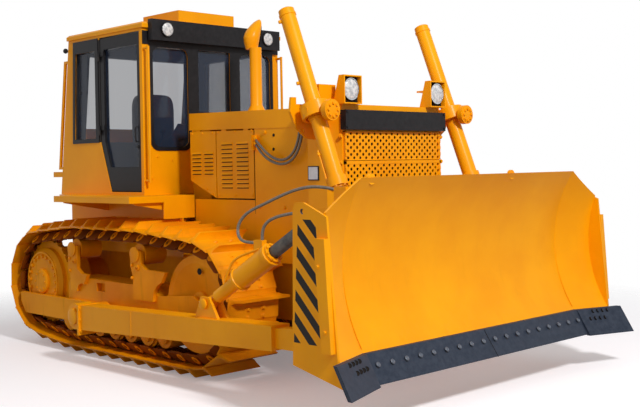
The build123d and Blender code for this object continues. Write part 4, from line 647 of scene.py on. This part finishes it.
def shoes(side_sign):
    """Shoes of one track with their four bolts."""
    y = side_sign * TRACK_Y
    shoe = prism(SHOE_SECTION, SHOE_WIDTH, 0.0025).at(link_frames(y + SHOE_WIDTH / 2))
    places = [(a, 0.069, off) for a in (0.075, LINK - 0.062) for off in (-LINK_Y, LINK_Y)]
    return shoe + hex_head(0.026, 0.015).on(places, (0, 1, 0)).at(link_frames(y))


def pin_bosses(side_sign):
    """Round boss on both faces of each link, round the pin's end."""
    profile = np.array([(0.034, 0.097), (0.034, 0.106), (0.030, 0.109), (0.017, 0.109)])
    bosses = lathe(profile, 16) + lathe(profile * (1, -1), 16)
    return bosses.at(link_frames(side_sign * TRACK_Y))


for sign, name in ((-1, "right"), (1, "left")):
    track = ["track_" + name]
    piece("bosses_" + name, pin_bosses(sign), *FRAME, stands_for=track)
    piece("chain_" + name, chain(sign), chain_finish, "frame_paint", stands_for=track)
    piece("shoes_" + name, shoes(sign), *FRAME, stands_for=track)

# ---------------- running gear
SPROCKET = (-2.015, -1.042, 0.610)
CAP_FACE = (-2.015, -1.072, 0.610)
drum = lathe([(0.285, -0.004), (0.285, 0.010), (0.268, 0.014), (0.262, 0.006)], 48, ring=True)
cap = lathe([(0.12, -0.004), (0.12, 0.020), (0.108, 0.032), (0.06, 0.036)], 32)
hub_bolts = hex_head(0.030, 0.018).at(ring_of(20, 0.240, SPROCKET, RIGHT))
cap_bolts = hex_head(0.018, 0.012).at(ring_of(8, 0.090, CAP_FACE, RIGHT))
piece("final_drive_trim", ((drum + cap).on(SPROCKET, RIGHT) + hub_bolts + cap_bolts).both(), *FRAME)

# Track rollers, x and z: the end ones stand a little higher; every other one has inner flanges too
ROLLERS = [(-1.500 + 0.250 * n, 0.293 if n in (0, 6) else 0.287) for n in range(7)]
roller_collar = lathe([(0.050, 0), (0.072, 0.006), (0.072, 0.026), (0.052, 0.034)], 20)
collars = roller_collar.on([(x, -TRACK_Y - 0.112, z) for x, z in ROLLERS], RIGHT)
flange = lathe([(0.104, 0), (0.122, 0.003), (0.122, 0.013), (0.104, 0.016)], 28, ring=True)
flanges = flange.on([(x, -TRACK_Y - 0.050 + k, z) for x, z in ROLLERS[1:6:2]
                     for k in (0.022, -0.022)], RIGHT)
piece("roller_collars", (collars + flanges).both(), *FRAME)

# Carrier rollers: x of each, their height and the outer face of their posts
CARRIER_XS, CARRIER_Z, POST_FACE = (-1.370, -0.345), 0.954, -1.098
POST_BOLTS = ((-0.045, -0.09), (0.040, -0.10), (-0.045, -0.20))
carrier_cap = lathe([(0.050, 0), (0.066, 0.003), (0.066, 0.010), (0.046, 0.014)], 24)
carrier_caps = carrier_cap.on([(x, POST_FACE, CARRIER_Z) for x in CARRIER_XS], RIGHT)
post_bolts = hex_head(0.022, 0.012).on([(x + a, POST_FACE, CARRIER_Z + b)
                                        for x in CARRIER_XS for a, b in POST_BOLTS], RIGHT)
post_eye = lathe([(0.020, 0), (0.024, 0.004), (0.024, 0.008), (0.019, 0.010)], 16, ring=True)
post_eyes = post_eye.on([(x + 0.040, POST_FACE, 0.842) for x in CARRIER_XS], RIGHT)
piece("carrier_trim", (carrier_caps + post_bolts + post_eyes).both(), *FRAME)

# spring rod between the roller frame's box and the idler
spring_rod = lathe([(0.050, 0), (0.050, 0.030), (0.078, 0.034), (0.078, 0.060), (0.044, 0.064),
                    (0.044, 0.100), (0.066, 0.104), (0.066, 0.128), (0.040, 0.132), (0.040, 0.230)], 24)
rod_nuts = hex_head(0.030, 0.020).at(ring_of(5, 0.058, (0.040, -0.975, 0.570), FORE))
piece("spring_rods", (spring_rod.on((-0.020, -0.975, 0.570), FORE) + rod_nuts).both(), *FRAME)
beam_bolts = hex_head(0.028, 0.016).on([(x, -1.102, 0.462)
                                        for x in np.arange(-0.30, 0.22, 0.085)], RIGHT)
piece("beam_bolts", beam_bolts.both(), *FRAME)
IDLER = (0.435, -0.983, 0.590)
idler_hub = lathe([(0.098, -0.005), (0.098, 0.026), (0.086, 0.036), (0.050, 0.040)], 36)
idler_plug = lathe([(0.018, -0.010), (0.018, 0.004), (0.012, 0.007)], 12)
idler_trim = idler_hub.on(IDLER, RIGHT) + idler_plug.on((0.500, -1.020, 0.855), (0.2, -1, 0))
piece("idler_hubs", idler_trim.both(), *FRAME)

# ---------------- grille
GRILLE_X = 1.6352
GRILLE_HALF = 0.560
HOLE_PITCH, HOLE_ROW, HOLE_R = 0.066, 0.0262, 0.0122
# Panels of the grille: lowest and highest z
GRILLE_PANELS = [(1.245, 1.707), (1.722, 1.932)]


def perforated_cells(low, rows):
    """One face ring a hole: ten points round the cell's edge joined to ten round its hole. Every
    second row is half a cell over, with a plain half cell at each end, so that the points meet."""
    h, w, r = HOLE_ROW / 2, HOLE_PITCH / 2, HOLE_R
    rim = np.array([(w, h), (w / 2, h), (0, h), (-w / 2, h), (-w, h),
                    (-w, -h), (-w / 2, -h), (0, -h), (w / 2, -h), (w, -h)])
    k = np.arange(10)
    a = np.radians(18 + 36 * k)
    cell = np.vstack([rim, np.stack([r * np.cos(a), r * np.sin(a)], -1)])
    quads = np.stack([k, (k + 1) % 10, (k + 1) % 10 + 10, k + 10], -1)
    half = rim[2:8] + (w, 0)
    points, rings, ends, n = [], [], [], 0
    for row in range(rows):
        z = low + HOLE_ROW * (row + 0.5)
        odd = row % 2
        count = round(2 * GRILLE_HALF / HOLE_PITCH) - odd
        ys = (np.arange(count) - (count - 1) / 2) * HOLE_PITCH
        block_points = cell[None] + np.stack([ys, np.full(count, z)], -1)[:, None]
        points.append(block_points.reshape(-1, 2))
        rings.append((quads[None] + n + 20 * np.arange(count)[:, None, None]).reshape(-1, 4))
        n += 20 * count
        if odd:
            for start in (-GRILLE_HALF, GRILLE_HALF - w):
                points.append(half + (start, z))
                ends.append(np.arange(n, n + 6))
                n += 6
    flat = np.vstack(points)
    return flat, [np.vstack(rings), np.array(ends)]


def grille_sheet(name, low, rows):
    """Perforated sheet: the cells in one plane, merged, then given its thickness."""
    flat, faces = perforated_cells(low, rows)
    mesh = new_mesh(name, np.column_stack([np.full(len(flat), GRILLE_X + 0.018), flat]), faces)
    work = bmesh.new()
    work.from_mesh(mesh)
    bmesh.ops.remove_doubles(work, verts=work.verts, dist=0.0002)
    bmesh.ops.recalc_face_normals(work, faces=work.faces)
    if sum(f.normal.x for f in work.faces) < 0:
        bmesh.ops.reverse_faces(work, faces=work.faces)
    work.to_mesh(mesh)
    work.free()
    mesh.materials.append(yellow.material)
    made = placed(name, mesh)
    thick = made.modifiers.new("thickness", "SOLIDIFY")
    thick.thickness, thick.offset = 0.005, -1.0
    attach(made, "hull")
    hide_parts("grille")


bars = []
for number, (low, high) in enumerate(GRILLE_PANELS):
    rows = int((high - low) / HOLE_ROW)
    grille_sheet(f"grille_sheet_{number}", low, rows)
    top = low + HOLE_ROW * rows
    bars += [block((GRILLE_X, -GRILLE_HALF, z0), (GRILLE_X + 0.020, GRILLE_HALF, z1))
             for z0, z1 in ((low - 0.006, low + 0.004), (top - 0.004, high + 0.006))]
    bars += [block((GRILLE_X, y - 0.006, low - 0.006), (GRILLE_X + 0.020, y + 0.006, high + 0.006))
             for y in (-GRILLE_HALF + 0.006, GRILLE_HALF - 0.006)]
piece("grille_frame", total(bars), *ENAMEL, stands_for=["grille"])
# radiator core with fins behind the grille; its dark brown is partly painted shade
core_fins = total([block((1.560, -0.535, z), (1.574, 0.535, z + 0.004), 0.0)
                   for z in np.arange(1.13, 1.92, 0.012)])
core = block((1.556, -0.53, 1.12), (1.562, 0.53, 1.93), 0.001)
piece("radiator_core_in_shade", core + core_fins, core_and_shade_finish, "dark_steel")

# painted shade: a dark disc where each idler's disc has its hole
idler_hole_shade = lathe([(0.026, -0.002), (0.026, 0.0015)], 24).on((0.494, -1.0545, 0.858), RIGHT)
piece("idler_hole_shades", idler_hole_shade.both(), *DARK)

# ---------------- exhaust
STACK_X, STACK_R = -0.050, 0.054
SCOOP_STEPS = 4                # rings for each entry of the table
MOUTH_SHARE = 0.62             # the mouth's width over the scoop's
stack = lathe([(0.092, 2.163), (0.091, 2.172), (0.062, 2.222), (STACK_R, 2.240), (STACK_R, 2.755)], 40)
stack_strap = prism([(-0.05, 2.165), (0.098, 2.165), (0.070, 2.205), (0.020, 2.273), (-0.010, 2.353)],
                    0.012, 0.002).on((0, 0.018, 0), RIGHT)
# Scoop sections from the pipe up to the tip: y of the middle, z, half width, half depth
SCOOP = np.array([(0, 2.745, 0.054, 0.054), (-0.002, 2.775, 0.060, 0.060), (-0.003, 2.805, 0.067, 0.067),
                  (0.000, 2.850, 0.074, 0.074), (0.014, 2.896, 0.070, 0.072), (0.036, 2.938, 0.060, 0.064),
                  (0.058, 2.974, 0.045, 0.052), (0.078, 3.003, 0.028, 0.036), (0.092, 3.022, 0.009, 0.012)])


def outlet_y(z):
    """The slanting plane that cuts the scoop off: y = 0.055 + 0.18 (z - 2.76)."""
    return 0.055 + 0.18 * (z - 2.76)


def scoop_shape(sides=32):
    """Ellipses round the scoop's middle line, x = half depth times sin a and y = half width times
    cos a, cut off by the outlet plane."""
    a = np.linspace(0, 2 * np.pi, sides, endpoint=False)
    rows = SCOOP_STEPS * len(SCOOP)
    steps = np.linspace(0, len(SCOOP) - 1, rows)
    y, z, wide, deep = (np.interp(steps, np.arange(len(SCOOP)), SCOOP[:, k])[:, None] for k in range(4))
    ys = np.minimum(y + wide * np.cos(a), outlet_y(z))
    points = np.stack([STACK_X + deep * np.sin(a), ys, z + 0 * a], -1).reshape(-1, 3)
    return Shape(points, closed_faces(rows, sides))


def mouth_shade_shape(rows=12):
    """Thin dark sheet over the outlet plane, narrower than the scoop there: painted shade of the pipe's
    hollow inside.
    """
    z = np.linspace(2.775, 2.965, rows)
    half = np.interp(z, SCOOP[:, 1], SCOOP[:, 3]) * MOUTH_SHARE
    y = outlet_y(z) + 0.0005
    corners = [np.column_stack([STACK_X + side * half, y + off, z])
               for side, off in ((-1, -0.002), (1, -0.002), (1, 0.001), (-1, 0.001))]
    return Shape(np.stack(corners, 1).reshape(-1, 3), closed_faces(rows, len(corners)))


piece("exhaust_stack_form", stack + stack_strap + scoop_shape(), *ENAMEL,
      stands_for=["exhaust_stack"])
piece("exhaust_mouth_shade", mouth_shade_shape(), *DARK)

# ---------------- blade fastenings
EDGE_TILT = (0.828, 0, 0.560)           # outward normal of the cutting edge's front face
BIT_TILT = (0.80, -0.29, 0.52)          # the same of the right end bit
EDGE_TOP_X, EDGE_TOP_Z, EDGE_SLOPE = 2.481, 0.4727, 0.6754
# End bit: x and y where it starts, how far its foot stands ahead, the foot's z, x over y outwards
BIT_X, BIT_Y, BIT_REACH, BIT_LOW_Z, BIT_SWEEP = 2.487, 1.250, 0.120, 0.274, 0.3571


def edge_point(y, z, out=0.0):
    """A point on the cutting edge's front face at height z."""
    return (EDGE_TOP_X + (EDGE_TOP_Z - z) * EDGE_SLOPE + out, y, z)


edge_places = [edge_point(y, 0.400) for y in np.linspace(-1.19, 1.19, 18)]
edge_bolts = plough_bolt(0.036).on(edge_places, EDGE_TILT)
piece("edge_bolts", edge_bolts, edge_bright, "worn_steel", "blade")
edge_seam = prism([(-0.0012, -0.112), (0.0012, -0.112), (0.0012, 0.112), (-0.0012, 0.112)], 0.003)
piece("edge_seam", edge_seam.on(edge_point(0.0, 0.378, -0.002), EDGE_TILT, (0, 1, 0)), seal_and_shade,
      "worn_steel", "blade")


def bit_point(y, z):
    """A point on an end bit's front face: its foot stands ahead, and it bends forward outwards."""
    share = (EDGE_TOP_Z - z) / (EDGE_TOP_Z - BIT_LOW_Z)
    return (BIT_X + BIT_REACH * share + BIT_SWEEP * (abs(y) - BIT_Y), y, z)


BIT_ROWS = ((0.452, (1.525, 1.478, 1.432, 1.386)), (0.398, (1.47, 1.424, 1.378, 1.332)))
bit_places = [bit_point(-y, z) for z, ys in BIT_ROWS for y in ys]
bit_bolts = plough_bolt(0.034).on(bit_places, BIT_TILT)
piece("bit_bolts", bit_bolts.both(), seal_and_shade, "worn_steel", "blade")
# weld beads down the folds of the blade's face, an arc in x and z
ARC_X, ARC_Z, ARC_R = 3.266, 1.0365, 0.981
fold_z = np.linspace(0.50, 1.575, 30)
fold_x = ARC_X - np.sqrt(ARC_R ** 2 - (fold_z - ARC_Z) ** 2)
bead = tube(np.column_stack([fold_x - 0.001, np.full(30, -1.2495), fold_z]), 0.0035, 6)
piece("fold_welds", bead.both(), *ENAMEL, "blade")
wear_welds = tube([(2.470, -1.601, 0.53), (2.415, -1.601, 1.23)], 0.005, 6)
bar_bolts = hex_head(0.020, 0.010).on([(2.452, -1.639, 1.06), (2.506, -1.639, 0.66)], RIGHT)
piece("wear_bar_trim", (wear_welds + bar_bolts).both(), *ENAMEL, "blade")
lifting_eye = lathe([(0.018, -0.009), (0.030, -0.006), (0.030, 0.006), (0.018, 0.009)], 20, ring=True)
piece("lifting_eyes", lifting_eye.on((2.279, -1.590, 1.395), RIGHT).both(), edge_bright,
      "worn_steel", "blade")
top_lug = lathe([(0.036, -0.010), (0.036, 0.010)], 20)
top_lugs = top_lug.on([(2.438, y, 1.588) for y in (-1.13, 0.43)], FORE)
piece("blade_top_lugs", top_lugs, *ENAMEL, "blade")

# ---------------- push arms and braces
ARM_Y = -1.420
arm_weld = tube([(0.060, ARM_Y - 0.0005, 0.345), (0.060, ARM_Y - 0.0005, 0.542)], 0.003, 6)
cap_ring = lathe([(0.060, 0), (0.070, 0.004), (0.070, 0.018), (0.050, 0.024)], 28)
arm_ring = cap_ring.on((-0.820, -1.414, 0.420), RIGHT)
arm_bolts = hex_head(0.026, 0.014).on([(-0.706, -1.335 + dy, z) for dy in (-0.080, 0.080)
                                       for z in (0.305, 0.400, 0.500)], FORE)
lug_pin = lathe([(0.030, 0), (0.040, 0.003), (0.040, 0.016), (0.030, 0.020)], 20).on(
    (0.985, -1.394, 0.680), RIGHT)
piece("arm_trim", (arm_weld + arm_ring + arm_bolts + lug_pin).both(), *ENAMEL, "blade")
brace_low, brace_top = np.array((0.985, -1.330, 0.680)), np.array((2.015, -1.250, 1.310))
brace_way = (brace_top - brace_low) / np.linalg.norm(brace_top - brace_low)


def on_brace(reach):
    """A point on the right brace's axis, reach from its lower eye."""
    return brace_low + brace_way * reach


# Rings on the cylinder: reach, inner and outer radius, length
BRACE_RINGS = ((0.365, 0.081, 0.088, 0.024), (0.718, 0.080, 0.086, 0.034))
brace_rings = total([
    lathe([(r, 0), (outer, 0.004), (outer, long - 0.004), (r, long)], 36, ring=True).on(
        on_brace(reach), brace_way) for reach, r, outer, long in BRACE_RINGS])
gland_bolts = hex_head(0.018, 0.010).at(ring_of(8, 0.062, on_brace(0.772), brace_way, UP))
piece("tilt_cylinder_trim", brace_rings + gland_bolts, *ENAMEL, "blade")
guide = curve([on_brace(0.20) + (0, -0.01, 0.058), on_brace(0.26) + (0, -0.012, 0.13),
               on_brace(0.36) + (0, -0.014, 0.16), on_brace(0.62) + (0, -0.014, 0.10)])
piece("guide_rod", tube(guide, 0.009, 10), *ENAMEL, "blade")

# ---------------- lift cylinders
# The right yoke's pivot, the barrel's lean from it to the rod's eye, and the way down the barrel
PIVOT = np.array((1.585, -0.790, 2.085))
LEAN = math.atan2(2.108 - 1.585, 2.085 - 0.750)
DOWN = np.array((math.sin(LEAN), 0, -math.cos(LEAN)))


def barrel_trim():
    """Rings, port bosses and gland bolts of the right lift cylinder's barrel."""
    ring = lathe([(0.0605, 0), (0.066, 0.003), (0.066, 0.020), (0.0605, 0.024)], 40, ring=True)
    rings = ring.on([PIVOT + DOWN * s for s in (-0.800, -0.070, 0.052)], DOWN)
    cap = lathe([(0.059, 0), (0.052, 0.006), (0.040, 0.009)], 40).on(PIVOT - DOWN * 0.832, -DOWN)
    out = np.array((-0.62, -0.78, 0)) - np.dot((-0.62, -0.78, 0), DOWN) * DOWN
    boss = lathe([(0.014, 0), (0.014, 0.022), (0.010, 0.026)], 14)
    bosses = boss.on([PIVOT + DOWN * s + 0.058 * out for s in (-0.750, -0.240, 0.330)], out)
    pipe = tube([PIVOT + DOWN * s + 0.071 * out for s in (0.300, 0.400, 0.500, 0.540)], 0.008, 8)
    gland = hex_head(0.020, 0.012).at(ring_of(6, 0.063, PIVOT + DOWN * 0.597, DOWN, UP))
    return rings + cap + bosses + pipe + gland


right_trim = barrel_trim()
for side, trim in (("right", right_trim), ("left", right_trim.mirrored())):
    piece("barrel_trim_" + side, trim, *ENAMEL, "lift_barrel_" + side)
disc_face = lathe([(0.066, -0.003), (0.066, 0.003), (0.060, 0.005)], 36).on(
    (1.760, -0.790, 2.085), FORE)
disc_bolts = hex_head(0.020, 0.012).at(ring_of(8, 0.048, (1.763, -0.790, 2.085), FORE, UP))
PLATE_BOLTS = ((-0.66, 1.925), (-0.66, 2.02), (-0.66, 2.12), (-0.66, 2.20), (-0.80, 1.945))
plate_bolts = hex_head(0.024, 0.014).on([(1.459, y, z) for y, z in PLATE_BOLTS], FORE)
piece("yoke_trim", (disc_face + disc_bolts + plate_bolts).both(), *ENAMEL)


# ---------------- lamps
def lamp_parts(places, r, depth):
    """Lens dome of radius r and its rim, for lamps that look ahead."""
    lens = lathe([(r, 0), (0.97 * r, 0.20 * depth), (0.8 * r, 0.55 * depth), (0.5 * r, 0.85 * depth),
                  (0.12 * r, depth)], 40)
    rim = lathe([(r, -0.012), (1.07 * r, -0.010), (1.07 * r, 0.006), (0.98 * r, 0.008)], 40, ring=True)
    return lens.on(places, FORE, UP), rim.on(places, FORE, UP)


head_lens, head_rim = lamp_parts([(1.6725, y, 2.252) for y in (-0.505, 0.505)], 0.078, 0.013)
top_lens, top_rim = lamp_parts([(-0.5028, y, 2.928) for y in (-0.598, 0.598)], 0.062, 0.010)
piece("head_lenses", head_lens, lens_finish, "glass")
piece("head_rims", head_rim, bright, "chrome")
piece("roof_lenses", top_lens, lens_finish, "glass")
piece("roof_rims", top_rim, black, "black_paint")
housing_backs = total([block((1.646, y - 0.084, 2.152), (1.652, y + 0.084, 2.343), 0.001)
                       for y in (-0.5, 0.5)])
piece("housing_backs", housing_backs, *DARK)

# ---------------- cab fittings
CAB_SIDE = 0.818
wiper_arm = tube([(-1.630, -CAB_SIDE - 0.006, 2.200), (-1.622, -CAB_SIDE - 0.010, 2.500),
                  (-1.609, -CAB_SIDE - 0.006, 2.790)], 0.005, 8)
wiper_knob = lathe([(0.016, 0), (0.016, 0.014), (0.010, 0.018)], 16).on(
    (-1.624, -0.816, 2.420), RIGHT)
mirror_knob = lathe([(0.008, 0), (0.022, 0.006), (0.026, 0.022), (0.018, 0.036)], 16).on(
    (-1.874, -0.812, 2.849), (-0.9, -0.4, 0))
piece("wiper", wiper_arm + wiper_knob + mirror_knob, plastic, "black_plastic")
handle_bar = tube(curve([(-0.700, -0.806, 1.93), (-0.704, -0.824, 1.94), (-0.704, -0.824, 2.05),
                         (-0.700, -0.806, 2.06)]), 0.007, 8)
lock = lathe([(0.016, 0), (0.016, 0.008), (0.012, 0.010)], 16).on((-0.690, -0.806, 1.88), RIGHT)
handle = handle_bar + lock
for side, trim in (("right", handle), ("left", handle.mirrored())):
    piece("door_handle_" + side, trim, plastic, "black_plastic", "door_" + side)
CAB_BOLTS = ((-0.66, 1.79), (-0.50, 1.76), (-0.72, 1.60), (0.66, 1.79), (0.50, 1.76))
cab_bolts = hex_head(0.018, 0.008).on([(-0.605, y, z) for y, z in CAB_BOLTS], FORE)
piece("cab_bolts", cab_bolts, *ENAMEL)
plate_rim = block((1.310, -0.6215, 1.570), (1.425, -0.6130, 1.680), 0.001)
plate_face = block((1.318, -0.6226, 1.578), (1.417, -0.6200, 1.672), 0.0005)
piece("plate_rim", plate_rim, black, "black_paint")
piece("plate_face", plate_face, pale_plate, "worn_steel")


def lever(x, y):
    """Bent control lever with a knob, leaning ahead and a little outwards."""
    stem = tube(curve([(x, y, 1.76), (x - 0.01, y, 1.90), (x + 0.02, y * 1.02, 2.02)]), 0.009, 8)
    knob = lathe([(0.008, 0), (0.022, 0.010), (0.026, 0.028), (0.014, 0.044)], 14)
    return stem + knob.on((x + 0.02, y * 1.02, 2.015), UP)


levers = total([lever(-0.98 + 0.05 * i, y) for i, y in enumerate((-0.34, -0.38, 0.34))])
piece("control_levers", levers, plastic, "black_plastic")

# ---------------- panel fastenings
PANEL_Y = -0.496
PANEL_BOLTS = [
    (-0.305, 1.985), (-0.02, 1.985), (-0.305, 1.60), (-0.02, 1.45), (-0.160, 1.985), (0.062, 1.985),
    (0.285, 1.985), (0.508, 1.985), (0.508, 1.445), (0.285, 1.445), (0.062, 1.445), (-0.10, 1.50)]
SIDE_BOLTS = [(0.674, 1.964), (0.60, 1.35), (0.90, 1.35), (1.20, 1.35)]
panel_bolts = hex_head(0.016, 0.007).on([(x, PANEL_Y, z) for x, z in PANEL_BOLTS], RIGHT)
side_bolts = hex_head(0.024, 0.012).on([(x, PANEL_Y, z) for x, z in SIDE_BOLTS], RIGHT)
piece("panel_bolts", (panel_bolts + side_bolts).both(), *ENAMEL)
plugs = lathe([(0.013, -0.002), (0.013, 0.003), (0.009, 0.004)], 14).on(
    [(0.784, PANEL_Y, 1.937), (0.781, PANEL_Y, 1.823)], RIGHT)
seam = block((0.5405, PANEL_Y - 0.0012, 1.290), (0.5435, PANEL_Y + 0.004, 1.985), 0.0)
piece("plugs_and_seams", (plugs + seam).both(), *DARK)
guard_bolts = hex_head(0.024, 0.012).on([(1.6355, y, z) for y in (-0.588, 0.588)
                                         for z in (1.30, 1.50, 1.70, 1.90)], FORE)
band_bolts = hex_head(0.016, 0.007).on([(1.692, y, z) for y in (-0.57, 0.57)
                                        for z in (1.965, 2.080)], FORE)
piece("guard_bolts", guard_bolts, *ENAMEL)
piece("band_bolts", band_bolts, black, "black_paint")

# painted shade strips under the louvres, in their gaps: start x, end x, lowest louvre, highest louvre, how
# many
LOUVRE_COLUMNS = [(-0.308, -0.178, 1.640, 1.812, 6), (-0.135, -0.008, 1.640, 1.812, 6),
                  (0.105, 0.254, 1.520, 1.888, 11), (0.307, 0.464, 1.520, 1.888, 11)]
gap_shade_strips = total([
    block((x0 + 0.004, PANEL_Y - 0.0022, z - 0.018), (x1 - 0.004, PANEL_Y + 0.002, z - 0.0102), 0.0)
    for x0, x1, low, high, count in LOUVRE_COLUMNS for z in np.linspace(low, high, count)])
piece("louvre_gap_shade", gap_shade_strips.both(), *DARK)


# ---------------- seat
EDGE_POWER = 0.55              # q below: how square the cushion's edge is
SEAM_DEPTH, SEAM_WIDTH = 0.035, 0.12


def cushion(name, centre, half, crown, body_round):
    """Crowned closed form on a sphere's grid: x = hx |cos v cos u|^p, y the same with sin u, and
    z = hz |sin v|^q with a crown that falls off to the rim; a seam pulls it in round the middle."""
    rows, columns = 28, 56
    v = np.linspace(-np.pi / 2 * 0.999, np.pi / 2 * 0.999, rows)[:, None]
    u = np.linspace(0, 2 * np.pi, columns, endpoint=False)[None]

    def power(value, p):
        return np.sign(value) * np.abs(value) ** p

    girth = power(np.cos(v), body_round)
    x, y = girth * power(np.cos(u), body_round), girth * power(np.sin(u), body_round)
    z = power(np.sin(v), EDGE_POWER) + 0 * u
    swell = np.clip(1 - x ** 2, 0, 1) * np.clip(1 - y ** 2, 0, 1)
    z = z + crown * swell * (z > 0)
    seam = 1 - SEAM_DEPTH * np.exp(-(z / SEAM_WIDTH) ** 2)
    local = np.stack([x * seam * half[0], y * seam * half[1], z * half[2]], -1).reshape(-1, 3)
    shape = Shape(local + centre, closed_faces(rows, columns))
    made = piece(name, shape, vinyl, "seat_fabric", sharp=70)
    return made


seat_pad = cushion("seat_pad", (-1.370, 0, 1.815), (0.255, 0.250, 0.068), 0.22, 0.35)
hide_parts("seat")
back = cushion("seat_back", (0, 0, 0), (0.285, 0.240, 0.055), 0.30, 0.38)
# the back stands up: its x and z change places, which turns its faces inside out
turn = np.array([[0, 0, 1], [0, 1, 0], [1, 0, 0]])
flat = np.empty(len(back.data.vertices) * 3)
back.data.vertices.foreach_get("co", flat)
back.data.vertices.foreach_set("co", (flat.reshape(-1, 3) @ turn.T + (-1.610, 0, 2.150)).ravel())
back.data.flip_normals()
seat_base = block((-1.57, -0.19, 1.507), (-1.19, 0.19, 1.750), 0.012)
seat_arms = total([block((-1.58, y - 0.03, 1.93), (-1.26, y + 0.03, 1.975), 0.014)
                   for y in (-0.225, 0.225)])
piece("seat_frame", seat_base + seat_arms, plastic, "black_plastic")

# ---------------- floor and light
FLOOR_REACH = 60.0
FLOOR_FADE = (3.4, 6.5)        # the floor fades out between these distances from the origin
WORLD_LIGHT, WORLD_SEEN = 0.36, 1.0
floor_mesh = bpy.data.meshes.new("floor")
floor_mesh.from_pydata([(x * FLOOR_REACH, y * FLOOR_REACH, 0)
                        for x, y in ((-1, -1), (1, -1), (1, 1), (-1, 1))], [], [(0, 1, 2, 3)])
floor = placed("floor", floor_mesh)
floor_finish = Finish("floor_finish", roughness=0.9)
away = floor_finish.node("ShaderNodeVectorMath", {"operation": "LENGTH"}, {0: floor_finish.place}, 1)
floor_finish.set(alpha=1.0 - away.fade(*FLOOR_FADE))
# floor and world are white where they are seen, and darker as sources of light on the machine
shown = floor_finish.seen()
floor_finish.shader.inputs["Emission Strength"].default_value = 1.0
floor_finish.set(emission_color=floor_finish.mix(shown, (0, 0, 0, 1), (0.22, 0.215, 0.22, 1)),
                 base_color=floor_finish.mix(shown, (0.42, 0.40, 0.38, 1), (0.97, 0.95, 0.97, 1)))
floor_mesh.materials.append(floor_finish.material)

world = bpy.data.worlds.new("world")
world.use_nodes = True
bpy.context.scene.world = world
sky = Nodes(world.node_tree)
background = sky.tree.nodes["Background"].inputs
background["Color"].default_value = (1, 1, 1, 1)
strength = sky.node("ShaderNodeMapRange", {}, {
    "Value": sky.seen(), "To Min": WORLD_LIGHT, "To Max": WORLD_SEEN})
sky.tree.links.new(strength.socket, background["Strength"])
bpy.context.scene.view_settings.view_transform = "Standard"


def lamp(name, place, target, size, power):
    """A square soft lamp at place that faces target."""
    data = bpy.data.lights.new(name, "AREA")
    data.size, data.energy = size, power
    made = placed(name, data)
    made.location = place
    made.rotation_euler = (made.location - Vector(target)).to_track_quat("Z", "Y").to_euler()


lamp("key", (9.3, -2.6, 8.3), (0.3, 0, 1.0), size=1.4, power=920.0)
lamp("fill", (1.0, -9.0, 4.0), (0.0, 0, 1.0), size=6.0, power=55.0)
